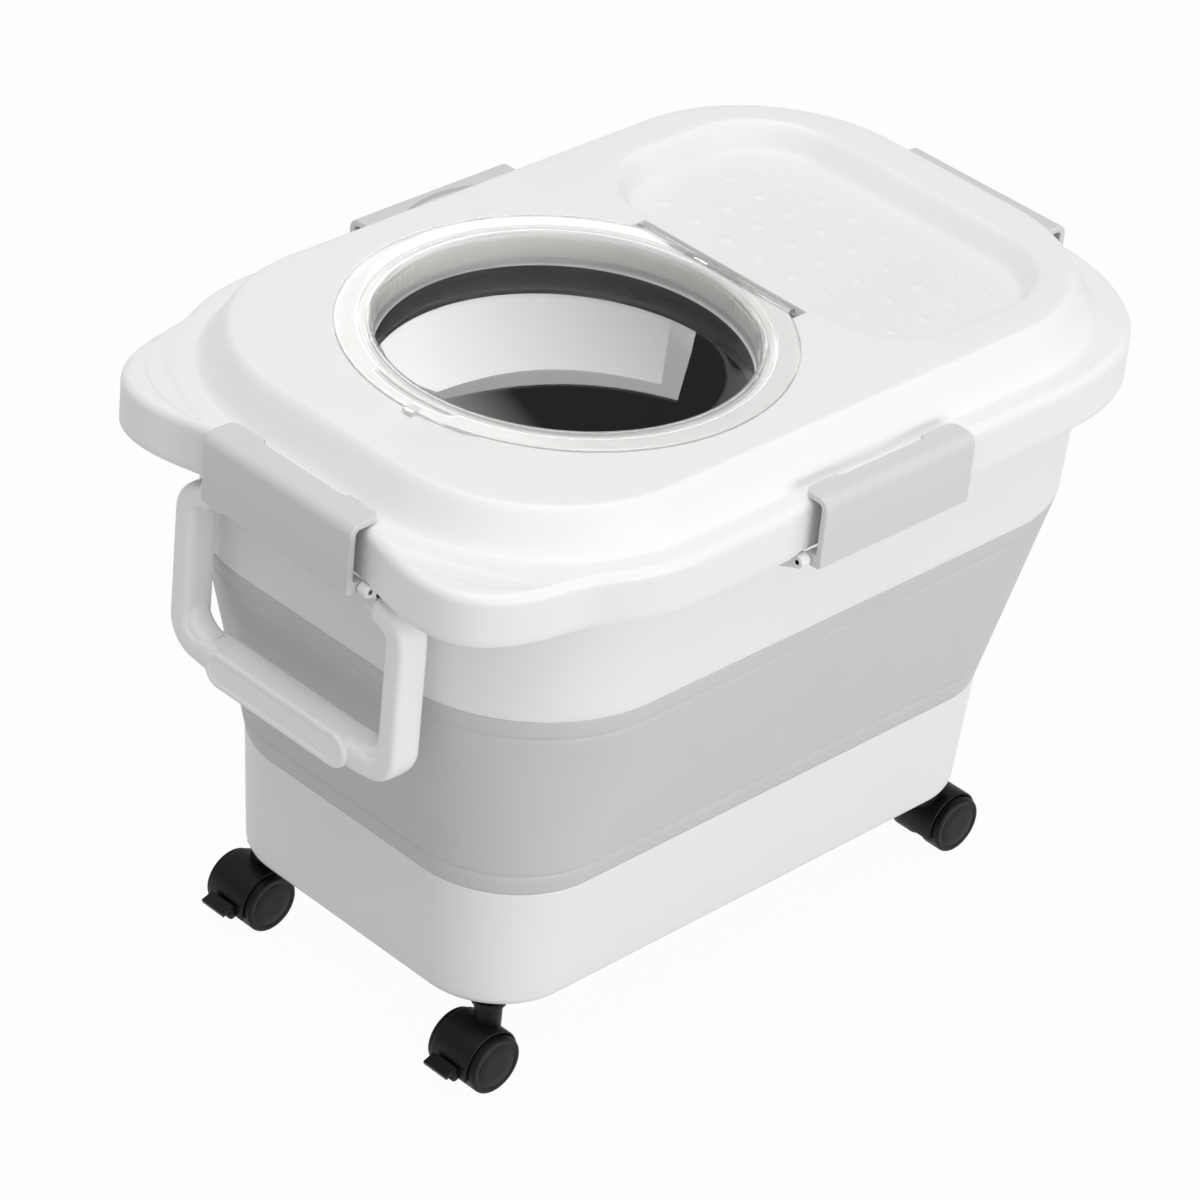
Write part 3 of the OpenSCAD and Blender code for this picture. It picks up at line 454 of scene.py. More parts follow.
def recess_grid():
    """Deck round the cover: rulings from the loop to the recess, down its wall, the ledge and the throat."""
    middle = (0, COVER_Y)
    far, angle, direction = rulings(deck_loop(-1), middle)
    edge = recess_radius(angle, direction)
    ahead = POCKET_FRONT - COVER_Y
    pocket = (np.abs(edge * direction[:, 0]) <= POCKET_HALF + 0.01) & (edge * direction[:, 1] > ahead)
    low = np.where(pocket, Z_HINGE - BARREL_R - 0.5, Z_SEAT)
    wall = np.where(pocket, ahead / np.maximum(direction[:, 1], 0.1), edge - 0.01)
    rows = [(far + (edge + 0.5 - far) * t, Z_DECK) for t in np.linspace(0, 1, 26) ** 0.85]
    rows += [(edge + out, Z_DECK - drop) for out, drop in [(0.25, 0.05), (0.07, 0.2), (0, 0.5)]]
    rows += [(edge, low), (wall, low), (wall - 0.01, Z_SEAT)]
    rows += [(THROAT_R + out, Z_SEAT - drop) for out, drop in [(0.5, 0), (0.12, 0.12), (0, 0.5)]]
    rows += [(THROAT_R, z) for z in np.linspace(Z_SEAT - 3, Z_DECK - THROAT_H, 6)]
    x, y, z = polar(middle, direction, rows)
    on_deck = z > Z_DECK - 0.6
    return np.stack([x, y, np.where(on_deck, np.maximum(z - dish(x, y), low), z)], -1)


def tray_grid():
    """Deck round the tray: rulings from the loop to the tray's edge, down its slope and over its floor."""
    middle = (0, TRAY_Y)
    far, angle, direction = rulings(deck_loop(1), middle)
    edge = ray_rounded(angle, TRAY_W, TRAY_L, TRAY_R)
    rows = [(far + (edge - far) * t, Z_DECK) for t in np.linspace(0, 1, 5)]
    for t in np.linspace(0, 1, 17)[1:]:
        inset = TRAY_RUN * t
        slope = ray_rounded(angle, TRAY_W - 2 * inset, TRAY_L - 2 * inset, TRAY_R - inset)
        rows.append((slope, Z_DECK - TRAY_DEPTH * float(smooth(t, 0, 1))))
    rows += [(slope * share, Z_DECK - TRAY_DEPTH) for share in (0.8, 0.5, 0.2, 0.02)]
    return np.stack(polar(middle, direction, rows), -1)


def tray_bumps():
    """Rows of low round domes on the tray's floor: height falls as a raised cosine to a tangent foot."""
    pitch, radius, height, sink = 22.2, 4.1, 0.9, 0.02
    r = np.linspace(1, 0, 7)
    swell = (0.5 + 0.5 * np.cos(np.pi * r)) ** 0.7
    dome = lathe(np.stack([0.01 + r * radius, height * swell], -1), 20, foot=False)
    made = Surface()
    for i in np.arange(-3.5, 4):
        for j in np.arange(-1.5, 2):
            place = (i * pitch, TRAY_Y + j * pitch, Z_DECK - TRAY_DEPTH - sink)
            made.add(dome.moved(Matrix.Translation(place)))
    return made


def lid_surface():
    """Top skin of the lid: skirt and shoulder, the deck round the cover and the deck round the tray."""
    tray = tray_grid()
    made = Surface().grid(skirt_grid(), wrap_cols=True).grid(recess_grid(), wrap_cols=True)
    return made.grid(tray, wrap_cols=True).cap(tray[-1])


def cover_edge(direction):
    """Edge of the cover's flange from its middle: a disc, widened to the barrel and cut off along it."""
    back, widest = Y_HINGE - BARREL_R - 0.05 - COVER_Y, 112
    c, s = direction.T
    box = ray_box(direction, HINGE_HALF, back)
    beside = (s > 0) & (box < COVER_R + 8) & (np.abs(COVER_R * c) < HINGE_HALF + 0.01)
    edge = np.where(beside, np.minimum(box, widest), COVER_R)
    return np.where(s > 0, np.minimum(edge, back / np.maximum(s, 1e-9)), edge)


def cover_surface():
    """Clear moulding: cup with a flat pane, flange cut off along its barrel, an arc slot and a nub."""
    turns = [math.atan2(math.sqrt(COVER_R**2 - HINGE_HALF**2), HINGE_HALF),
             math.atan2(Y_HINGE - BARREL_R - COVER_Y, HINGE_HALF)]
    turns = np.array([turn + e for turn in turns for e in (-2e-4, 2e-4)])
    nub_half, nub_out, nub_lift = math.asin(3 / COVER_R), 3.5, 0.6
    marks = [turns, math.pi - turns, CATCH + np.array([-1, -0.97, 0.97, 1]) * nub_half]
    angle = np.sort(np.concatenate([np.linspace(-math.pi, math.pi, 361)[:-1], *marks]))
    direction = np.stack([np.cos(angle), np.sin(angle)], -1)
    edge = cover_edge(direction)
    nub = from_catch(angle) < 0.993 * nub_half
    rim, lift = edge + nub_out * nub, nub_lift * nub
    degrees = np.degrees(angle)
    in_slot = smooth(degrees, -104, -103) * (1 - smooth(degrees, -76, -75))
    top, low, foot = Z_LEDGE + COVER_T, Z_LEDGE, Z_PANE - COVER_T
    pane = [(r, Z_PANE) for r in (4, 40, 75, CUP_R - 2.5)]
    rows = [*arc(CUP_R - 1.5, Z_PANE + 1.5, 1.5, -90, 0, 5)]
    rows += [(CUP_R, z) for z in np.linspace(Z_PANE + 4, top - 1.4, 5)]
    rows += [(CUP_R + out, top - drop) for out, drop in [(0.1, 0.9), (0.45, 0.4), (1.0, 0.1), (1.6, 0)]]
    # round groove, then the arc slot
    groove = [(-1.2, 0), (-0.6, 0.12), (0, 0.3), (0.6, 0.12), (1.2, 0)]
    rows += [(97.8 + out, top - drop) for out, drop in groove]
    slot = [(-0.9, 0), (-0.65, 0.15), (-0.5, 0.8), (0.5, 0.8), (0.65, 0.15), (0.9, 0)]
    rows += [(101.4 + out, top - drop * in_slot) for out, drop in slot]
    rows += [(np.minimum(r, edge - inset), top) for r, inset in [(104.5, 2.0), (107.6, 0.7)]]
    rows += [(edge - 0.6, top + lift)]
    rows += [(rim - inset, top + lift - drop) for inset, drop in [(0.2, 0.05), (0.03, 0.25), (0, 0.6)]]
    rows += [(rim, low + 0.3), (rim - 0.3, low), (np.minimum(edge - 1.0, 100.0), low)]
    rows += [(SPIGOT_R + 0.6, low), (SPIGOT_R, low - 0.6)]
    rows += [(SPIGOT_R, z) for z in np.linspace(low - 2, foot + 2.5, 5)]
    rows += [*arc(SPIGOT_R - 2, foot + 2, 2, 0, -90, 5)]
    under = [(r, foot) for r in (75, 40, 4)]
    grid = np.stack(polar((0, COVER_Y), direction, pane + rows + under), -1)[::-1]
    # material 1 on the pane and its underside is the dark tint that paints the shade of the bin's inside
    marks = [1] * len(under) + [0] * (len(rows) - 1) + [1] * len(pane)
    return tube(grid, marks=marks, end_mark=1)


def rod(radius, low, high, edge=0.4, steps=40):
    """Round bar along +Z with rounded ends."""
    inner = radius - edge
    ends = arc(inner, low + edge, edge, -90, 0, 4), arc(inner, high - edge, edge, 0, 90, 4)
    return lathe(np.vstack(ends), steps)


ALONG_X = Matrix(((0, 0, 1, 0), (0, 1, 0, 0), (-1, 0, 0, 0), (0, 0, 0, 1)))
ACROSS = Matrix(((0, 0, 1, 0), (1, 0, 0, 0), (0, 1, 0, 0), (0, 0, 0, 1)))
SWING = Matrix(((1, 0, 0, 0), (0, 0, -1, 0), (0, 1, 0, 0), (0, 0, 0, 1)))


def prism(loop, low, high, edge=0.5, steps=4):
    """Solid between two heights of a closed counter-clockwise loop of (x, y), with rounded long edges.
    Each point moves in along the loop's normal by edge * (1 - cos) as the height rises by edge * sin."""
    loop = np.asarray(loop, float)
    ahead, behind = np.roll(loop, -1, 0) - loop, loop - np.roll(loop, 1, 0)
    ahead /= np.linalg.norm(ahead, axis=1)[:, None]
    behind /= np.linalg.norm(behind, axis=1)[:, None]
    mean = ahead + behind
    mean /= np.maximum(np.linalg.norm(mean, axis=1), 1e-9)[:, None]
    normal = np.stack([mean[:, 1], -mean[:, 0]], -1)
    spread = np.clip((mean * ahead).sum(1), 0.5, 1)
    foot = quarter_turn(edge, steps)[::-1] + [0, low]
    rows = np.vstack([foot, foot[::-1] * [1, -1] + [0, low + high]])
    return tube(np.array([np.column_stack([loop - normal * (inset / spread)[:, None], np.full(len(loop), z)])
                          for inset, z in rows]))


def rounded_loop(corners, radii, steps=6):
    """Closed loop through corners, each turned by an arc of its radius, counter-clockwise."""
    corners = [np.array(c, float) for c in corners]
    made = []
    for k, here in enumerate(corners):
        before, after = corners[k - 1], corners[(k + 1) % len(corners)]
        u, v = (before - here) / np.linalg.norm(before - here), (after - here) / np.linalg.norm(after - here)
        half = math.acos(max(-1, min(1, float(u @ v)))) / 2
        r = radii[k]
        reach = r / math.tan(half)
        middle = here + (u + v) / np.linalg.norm(u + v) * (r / math.sin(half))
        start, end = here + u * reach - middle, here + v * reach - middle
        a0 = math.atan2(start[1], start[0])
        turn = (math.atan2(end[1], end[0]) - a0 + math.pi) % (2 * math.pi) - math.pi
        a = a0 + turn * np.linspace(0, 1, steps + 1)
        made.append(np.stack([middle[0] + r * np.cos(a), middle[1] + r * np.sin(a)], -1))
    return np.vstack(made)


# Turn of each latch round the bin, its pivot's plane, the collar's half size there and the length of its hook
SIDE_LATCH = (SIDE_PIVOT, BAND_HIGH[0], SIDE_HOOK)
END_LATCH = (END_PIVOT, BAND_HIGH[1], END_HOOK)
STATIONS = {"right": (0, *SIDE_LATCH), "rear": (90, *END_LATCH),
            "left": (180, *SIDE_LATCH), "front": (-90, *END_LATCH)}


def upright(turn, plane):
    """Frame of a latch: x outwards, y along it, z up, with the origin on the pivot."""
    return Matrix.Rotation(math.radians(turn), 4, "Z") @ Matrix.Translation((plane, 0, Z_PIVOT))


def latch_surface(hook):
    """Hooked plate carried along its length. The hook's back corners are rounded, an arc steps its top down
    to the thin floor of the thumb scoop, and the section draws in by a small radius at both ends."""
    low = Z_FLANGE + 0.3 - Z_PIVOT
    top, back, plate_in, plate_out = low + 3.5, -1.0 - hook, 5.0, 8.5
    half, ends, corner, lip = LATCH_L / 2, 0.7, 5.5, 1.2
    # the scoop's depth, and the arc round it by its rise over a chord
    scoop, rise, chord = 2.2, 8.8, 62.0
    scoop_r = ((chord / 2) ** 2 + rise**2) / (2 * rise)
    scoop_end = math.sqrt(scoop_r**2 - (scoop_r - rise + lip) ** 2)
    draw_in = quarter_turn(ends, 4)
    marks = np.array([scoop_end, scoop_end - 0.3, *(half - corner * np.array([0.2, 0.35, 0.7]))])
    inner = np.sort(np.concatenate([np.linspace(ends - half, half - ends, 91)[1:-1], marks, -marks]))
    t = np.concatenate([draw_in[:, 0] - half, inner, half - draw_in[::-1, 0]])
    inset = np.concatenate([draw_in[:, 1], np.zeros(len(inner)), draw_in[::-1, 1]])
    drop = scoop * (np.abs(t) < scoop_end - 0.1)
    from_end = np.clip(corner - (half - np.abs(t)), 0, corner)
    reach = corner - np.sqrt(np.maximum(corner**2 - from_end**2, 0))
    wall = back + np.maximum(rise - scoop_r + np.sqrt(np.maximum(scoop_r**2 - t**2, 0)), lip + reach)

    def stations(points, x=0, z=0):
        """The same points of the section at each station, moved by an x and z of its own."""
        return np.asarray(points, float)[None] + np.stack(np.broadcast_arrays(x, z, t)[:2], -1)[:, None]

    # the step from the hook's top to the scoop's floor: x beyond its wall and share of the drop
    step = np.array([(1.0, 0), (0.35, 0), (0.1, 0.05), (0.0, 0.16), (-0.05, 0.85), (-0.15, 0.96),
                     (-0.45, 1.0)])
    ledge = np.stack([wall[:, None] + step[:, 0], top - drop[:, None] * step[:, 1]], -1)
    soft = 0.55
    tip = stations(arc(soft, top - soft, soft, 90, 180, 4), back + reach, -drop)
    heel = stations(arc(soft, low + soft, soft, 180, 270, 4), back + reach)
    foot, bend = arc(plate_out - 2.0, -1.0, 2.0, -90, 0, 5), arc(plate_out - 6.0, top - 6.0, 6.0, 0, 90, 10)
    under = [arc(plate_in - 2.5, low - 2.5, 2.5, 90, 0, 5),
             [(plate_in, 4.5), (plate_in - 0.6, 3.4), (2.2, 3.0)],
             arc(0, 0, 3.0, 90, 268, 10)]
    grid = np.concatenate([stations(foot), stations(bend), ledge, tip, heel, stations(np.vstack(under))], 1)
    # sections draw in towards their own outline's inside at the two ends
    ahead = np.roll(grid, -1, 1) - np.roll(grid, 1, 1)
    ahead /= np.linalg.norm(ahead, axis=2)[..., None]
    grid -= inset[:, None, None] * np.stack([ahead[..., 1], -ahead[..., 0]], -1)
    return tube(np.stack(np.broadcast_arrays(grid[..., 0], t[:, None], grid[..., 1]), -1)[::-1])


def both_ears(loop, turn, plane):
    """An ear past each end of a latch, from a loop drawn in the latch's x and z."""
    ear = prism(loop, EAR_INSIDE, EAR_INSIDE + EAR_T, 0.6)
    pair = Surface()
    for mirror in (1, -1):
        pair.add(ear.moved(upright(turn, plane) @ Matrix.Diagonal((1, mirror, 1, 1)) @ SWING))
    return pair


def ears_surface():
    """Pairs of ears at the four latches and the lugs of the handle, all with softened edges. An ear has a
    round end at the pivot and a tapering web back to the collar's wall."""
    made = Surface()
    for turn, plane, face, _ in STATIONS.values():
        r, web = 3.3, plane - face - 0.95
        loop = np.vstack([arc(0, 0, r, -90, 90, 12), [(-web, r), (-web, -r - web * 0.4)]])
        made.add(both_ears(loop, turn, plane))
    r, lug_x, lug_z, wall = 6.5, END_PIVOT + Y_HANDLE, Z_HANDLE - Z_PIVOT, END_PIVOT - BAND_HIGH[1] - 1.6
    loop = np.vstack([arc(-lug_x, lug_z, r, -90, 30, 12), [(-3.0, -2.0), (-wall, 0), (-wall, lug_z - r)]])
    return made.add(both_ears(loop, -90, END_PIVOT))


def handle_surface():
    """Bail: a rounded section along the bent middle line, thicker in the grip, with rounded tips."""
    tip_x, bend_x, arm_w, grip_w, half_t = 57.5, ARM_X - ARM_BEND, 13.0, 16.0, 9.0
    right = np.vstack([np.linspace([tip_x, Z_HANDLE], [bend_x, Z_HANDLE], 3),
                       arc(bend_x, Z_HANDLE - ARM_BEND, ARM_BEND, 90, 0, 12)[1:],
                       np.linspace([ARM_X, Z_HANDLE - ARM_BEND], [ARM_X, Z_GRIP + ARM_BEND], 10)[1:],
                       arc(bend_x, Z_GRIP + ARM_BEND, ARM_BEND, 0, -90, 12)[1:],
                       np.linspace([bend_x, Z_GRIP], [0, Z_GRIP], 12)[1:]])
    line = np.vstack([right, (right * [-1, 1])[::-1][1:]])
    ahead = np.gradient(line, axis=0)
    ahead /= np.linalg.norm(ahead, axis=1)[:, None]
    side = np.stack([ahead[:, 1], -ahead[:, 0]], -1)
    in_grip = smooth(-np.abs(line[:, 0]), -62, -50) * (line[:, 1] < Z_GRIP + 3)
    width = arm_w + (grip_w - arm_w) * in_grip
    # each tip closes over five more stations whose section shrinks as a quarter circle
    k = np.radians(np.linspace(80, 0, 6))[:-1]
    tips = line[0] + ahead[0] * 2.0 * (1 - np.sin(k))[:, None]
    shrink = 1 - 0.32 * (1 - np.cos(k))
    scale = np.concatenate([shrink, np.ones(len(line) - 2), shrink[::-1]])
    line = np.vstack([tips, line[1:-1], (tips * [-1, 1])[::-1]])
    side, width = np.pad(side, ((4, 4), (0, 0)), "edge"), np.pad(width, 4, "edge")
    a = np.radians(np.arange(0, 360, 7.5))
    u, v = (np.sign(k) * np.abs(k) ** 0.5 for k in (np.cos(a), np.sin(a)))
    offset = (u * (width * scale / 2)[:, None])[..., None] * side[:, None]
    x, z = (line[:, None] + offset).transpose(2, 0, 1)
    return tube(np.stack([x, Y_HANDLE + v * (half_t * scale)[:, None], z], -1))


def gusset_surface(side):
    """Fillet in the corner between the grip and an arm, an arc that grows towards its front and rear."""
    corner_x, corner_z, r, deep, half_y = 66.5, Z_GRIP + 8, 14.0, 4.5, 7.0
    turn = np.radians(np.linspace(270, 360, 17))[:, None]
    across = np.radians(np.linspace(-90, 90, 13))
    y = 2.0 * np.sign(across) + (half_y - 2.0) * np.sin(across)
    radius = r + 4.0 * (1 - np.cos(across))
    x, z = corner_x - r + radius * np.cos(turn), corner_z + r + radius * np.sin(turn)
    root = [(corner_x + deep, half_y, corner_z - deep), (corner_x + deep, -half_y, corner_z - deep)]
    grid = np.concatenate([np.stack(np.broadcast_arrays(x, y, z), -1), np.tile(root, (len(turn), 1, 1))], 1)
    return tube(grid[::-1]).moved(Matrix.Translation((0, Y_HANDLE, 0)) @ Matrix.Diagonal((side, 1, 1, 1)))


def plate_surface():
    """Blank capsule plate on the grip's front, with a rounded face edge and a shallow raised border."""
    long, r, edge, face, inside = 99.0, 9.75, 1.6, 11.5, 11.1
    flat = long / 2 - r
    loop = np.vstack([arc(flat, 0, r, -90, 90, 24), arc(-flat, 0, r, 90, 270, 24)])
    centre = np.column_stack([np.clip(loop[:, 0], -flat, flat), np.zeros(len(loop))])
    out = (loop - centre) / r
    rows = [(r, 0.0), (r, 9.7), *arc(r - edge, face - edge, edge, 0, 90, 6)]
    rows += [(r - 3.0, face), (r - 3.4, face - 0.15), (r - 3.8, inside), (r - 4.3, inside)]
    grid = np.array([np.column_stack([centre + out * w, np.full(len(loop), h)]) for w, h in rows])
    return tube(grid).moved(Matrix.Translation((0, Y_HANDLE, Z_GRIP)) @ SWING)


def caster_frame(corner):
    """Frame of a caster: the origin on the floor under the stem, the wheels trail towards +Y."""
    sx = -1 if corner[1] == "l" else 1
    sy = -1 if corner[0] == "f" else 1
    turned = Matrix.Rotation(math.pi if sy < 0 else 0, 4, "Z")
    return Matrix.Translation((sx * STEM_X, sy * STEM_Y, 0)) @ turned


AT_AXLE = Matrix.Translation((0, TRAIL, Z_AXLE))


def wheel_surface():
    """Wheel about +Z: tread with rounded corners, a flat disc with a faint ring and a hollow inner side."""
    r, w, round_r, bore, bore_end = WHEEL_R, WHEEL_W, 1.5, 1.55, 11.0
    profile = [(bore, bore_end), (bore, 0.0), (4.0, 0.0), (4.0, 4.0), (10.9, 4.0), (11.2, 0.0)]
    profile += [*arc(r - round_r, round_r, round_r, -90, 0, 6), (r, w / 2)]
    profile += [*arc(r - round_r, w - round_r, round_r, 0, 90, 8)]
    profile += [(12.5, w), (12.3, w - 0.1), (12.1, w - 0.25), (11.5, w - 0.25), (11.3, w - 0.1)]
    return lathe(profile + [(11.1, w), (6.0, w), (0.02, w)])


def hood_surface(brake):
    """Fork: a drum-shaped guard over both wheels, the web between them, the neck and the brake's ears."""
    half, guard_t, web_r, web_t, drop, soft = 12.5, 1.2, 16.5, 7.0, 5.0, 0.8
    outside = GUARD_R + guard_t
    # section of the guard across the wheels, carried round the axle
    corners = [(half, GUARD_R), (half, outside), (-half, outside), (-half, GUARD_R)]
    x, r = rounded_loop(corners, [0.3, soft, soft, 0.3], 4).T
    low = math.degrees(math.asin(drop / outside))
    a = np.radians(np.linspace(-low, 180 + low, 97))[:, None]
    made = tube(np.stack(np.broadcast_arrays(x, r * np.cos(a), r * np.sin(a)), -1))
    low = math.degrees(math.asin(drop / web_r))
    made.add(prism(arc(0, 0, web_r, -low, 180 + low, 60), -web_t / 2, web_t / 2, 0.4).moved(ACROSS))
    made = made.moved(AT_AXLE)
    shoulder = arc(NECK_R - soft, NECK_TOP - soft, soft, 0, 90, 5)
    made.add(lathe([(NECK_R, Z_AXLE), *shoulder], 64))
    if brake:
        y, z, r, ear_t = TRAIL + 18.633, Z_AXLE - 2.5, 2.8, 3.0
        loop = np.vstack([arc(y, z, r, 180, 450, 30), [(TRAIL + GUARD_R + 0.1, z + r)]])
        for low in (-8.0, 5.0):
            made.add(prism(loop, low, low + ear_t, 0.4).moved(ACROSS))
    return made


# ---------------------------------------------------------------- materials


def srgb(code):
    """Red, green and blue of a hex code as shares of one."""
    return tuple(int(code[k:k + 2], 16) / 255 for k in (1, 3, 5))


def linear(colour):
    """Linear red, green, blue and 1 of an sRGB hex code or colour property."""
    values = srgb(colour) if isinstance(colour, str) else [round(255 * v) / 255 for v in colour]
    return tuple(v / 12.92 if v <= 0.04045 else ((v + 0.055) / 1.055) ** 2.4 for v in values) + (1.0,)


def add_node(tree, kind, settings=None, **inputs):
    """Adds a shader node, sets its properties, and gives each named input a value or a socket to read."""
    node = tree.nodes.new(kind)
    for key, value in (settings or {}).items():
        setattr(node, key, value)
    for key, value in inputs.items():
        name = key.replace("_", " ")
        socket = node.inputs[int(key[1:])] if key[0] == "i" and key[1:].isdigit() else node.inputs[name]
        if isinstance(value, bpy.types.NodeSocket):
            tree.links.new(value, socket)
        else:
            socket.default_value = value
    return node


def new_material(name):
    """Empty node material with its output."""
    made = bpy.data.materials.new(name)
    made.use_nodes = True
    made.node_tree.nodes.clear()
    return made, made.node_tree, made.node_tree.nodes.new("ShaderNodeOutputMaterial")


def either(tree, first, *others):
    """Largest of some sockets, so 1 where any of them is 1."""
    for other in others:
        first = add_node(tree, "ShaderNodeMath", {"operation": "MAXIMUM"}, i0=first, i1=other).outputs[0]
    return first


def show_mix(tree, output, share, first, second):
    """Sends two shaders to the output: the first where share is 0, the second where it is 1."""
    mix = add_node(tree, "ShaderNodeMixShader", i0=share, i1=first.outputs[0], i2=second.outputs[0])
    tree.links.new(mix.outputs[0], output.inputs[0])


def moulded(name, colour, second, rough, rough_swing, grain_mm, grain_depth, ior, shine=0.5):
    """Moulded plastic: two close shades that drift over centimetres, roughness that varies with them, and
    the fine grain that a spark-eroded mould leaves."""
    made, tree, output = new_material(name)
    place = add_node(tree, "ShaderNodeTexCoord").outputs["Object"]
    drift = add_node(tree, "ShaderNodeTexNoise", Vector=place, Scale=22.0, Detail=3.0, Roughness=0.5)
    shade = add_node(tree, "ShaderNodeMix", {"data_type": "RGBA"}, Factor=drift.outputs["Fac"],
                     A=linear(colour), B=linear(second))
    speckle = add_node(tree, "ShaderNodeTexNoise", Vector=place, Scale=1000.0 / (grain_mm * 3), Detail=2.0)
    gloss = add_node(tree, "ShaderNodeMapRange", Value=speckle.outputs["Fac"], To_Min=rough - rough_swing,
                     To_Max=rough + rough_swing)
    grain = add_node(tree, "ShaderNodeTexNoise", Vector=place, Scale=1000.0 / grain_mm, Detail=2.0,
                     Roughness=0.6)
    bump = add_node(tree, "ShaderNodeBump", Height=grain.outputs["Fac"], Strength=0.5,
                    Distance=grain_depth * MM)
    shader = add_node(tree, "ShaderNodeBsdfPrincipled", Base_Color=shade.outputs["Result"],
                      Roughness=gloss.outputs["Result"], Normal=bump.outputs["Normal"], IOR=ior,
                      Specular_IOR_Level=shine)
    tree.links.new(shader.outputs[0], output.inputs[0])
    return made


def clear_plastic(name, colour, through, ior, clear):
    """Clear moulded plastic, glass-like by the share called clear and otherwise a matt haze of its colour;
    it lets lamps through by the tint called through."""
    made, tree, output = new_material(name)
    shader = add_node(tree, "ShaderNodeBsdfPrincipled", Base_Color=linear(colour), Roughness=0.0, IOR=ior,
                      Transmission_Weight=clear)
    lamps = add_node(tree, "ShaderNodeBsdfTransparent", Color=linear(through))
    path = add_node(tree, "ShaderNodeLightPath")
    show_mix(tree, output, path.outputs["Is Shadow Ray"], shader, lamps)
    return made


def drawn_steel(name, colour, rough):
    """Drawn steel wire: metal with fine streaks along the pins, so its roughness runs in narrow lines."""
    made, tree, output = new_material(name)
    place = add_node(tree, "ShaderNodeTexCoord").outputs["Object"]
    streak = add_node(tree, "ShaderNodeTexNoise", Vector=place, Scale=900.0, Detail=3.0)
    gloss = add_node(tree, "ShaderNodeMapRange", Value=streak.outputs["Fac"], To_Min=rough - 0.08,
                     To_Max=rough + 0.1)
    bump = add_node(tree, "ShaderNodeBump", Height=streak.outputs["Fac"], Strength=0.3, Distance=0.02 * MM)
    shader = add_node(tree, "ShaderNodeBsdfPrincipled", Base_Color=linear(colour), Metallic=1.0,
                      Roughness=gloss.outputs["Result"], Normal=bump.outputs["Normal"])
    tree.links.new(shader.outputs[0], output.inputs[0])
    return made


def finish_of(name):
    """The finish called name, made once from the colours in the panel."""
    if name in bpy.data.materials:
        return bpy.data.materials[name]
    c = bpy.context.scene.bin_colours
    finishes = {
        # two shades, roughness and its swing, grain size and depth in mm, refractive index, specular level
        "moulded_polypropylene_white": (moulded, c.white, c.white_second, 0.42, 0.05, 0.7, 0.02, 1.49),
        "moulded_polypropylene_grey": (moulded, c.latch, c.latch_second, 0.4, 0.05, 0.7, 0.02, 1.49),
        "soft_elastomer_grey": (moulded, c.band, c.band_second, 0.55, 0.05, 0.9, 0.03, 1.5),
        "silicone_seal": (moulded, "#E9E9E6", "#E3E3E0", 0.5, 0.05, 0.8, 0.02, 1.41),
        "moulded_nylon_black": (moulded, c.black, "#101010", 0.42, 0.06, 0.8, 0.03, 1.53, 0.2),
        "caster_tread_black": (moulded, "#090909", "#0C0C0C", 0.45, 0.06, 0.8, 0.03, 1.5, 0.2),
        # haze, tint of the light let through, refractive index, share that is clear
        "clear_polystyrene": (clear_plastic, "#EEEEED", "#FFFFFF", 1.3, 0.72),
        # the pane's dark tint is painted shade: it darkens the bin's inside seen through the clear pane
        "painted_shade_pane": (clear_plastic, c.pane, c.pane, 1.5, 1.0),
        # colour and roughness
        "drawn_steel": (drawn_steel, "#B9BBBD", 0.3),
    }
    make, *values = finishes[name]
    return make(name, *values)


# ---------------------------------------------------------------- properties


def colour_property(name, description, code):
    """sRGB colour property with its default."""
    return FloatVectorProperty(name=name, description=description, subtype="COLOR_GAMMA", size=3, min=0,
                               max=1, default=srgb(code))


class BinColours(PropertyGroup):
    """Colours of the bin's plastics."""

    white: colour_property("White", "Moulded white polypropylene", "#F0F0EF")
    white_second: colour_property("White, drift", "Slight shade drift in the white plastic", "#EDEDEC")
    latch: colour_property("Latch grey", "Moulded grey polypropylene of the latches", "#D5D5D6")
    latch_second: colour_property("Latch grey, drift", "Slight shade drift in the latches", "#D1D1D2")
    band: colour_property("Band grey", "Soft elastomer of the folding band", "#CFCFD0")
    band_second: colour_property("Band grey, drift", "Slight shade drift in the band", "#CACACB")
    black: colour_property("Caster black", "Moulded nylon of the caster hoods", "#0D0D0D")
    # the dark pane tint is painted shade for the bin's inside seen through the clear pane
    pane: colour_property("Pane smoke", "Tint of the clear pane", "#6A6B6C")


def level_property(name, description, level, unit="NONE"):
    """Property of a lamp's power or a brightness, with its default."""
    return FloatProperty(name=name, description=description, default=level, min=0, unit=unit)


class BinStage(PropertyGroup):
    """Lamps and background."""

    side_power: level_property("Side lamp", "Power of the soft lamp on the right", 86.0, "POWER")
    top_power: level_property("Top lamp", "Power of the soft lamp above", 54.0, "POWER")
    world_level: level_property("Ambient", "Brightness of the surroundings", 0.55)
    # brightness of the painted reflection: a glow that only the pane and other mirror-smooth surfaces see
    painted_reflection_level: level_property("Window card", "Brightness of the card mirrored in the pane", 8.4)


# ---------------------------------------------------------------- operators


class PieceOperator:
    """Shared settings of the operators that build pieces."""

    bl_options = {"REGISTER"}

    def finish(self, piece, body, slot, *nodes):
        """Seats a piece on its body and hides the nodes that it stands for; the slot is not used."""
        if nodes:
            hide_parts(*nodes)
        if body:
            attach(piece, body)
        return piece


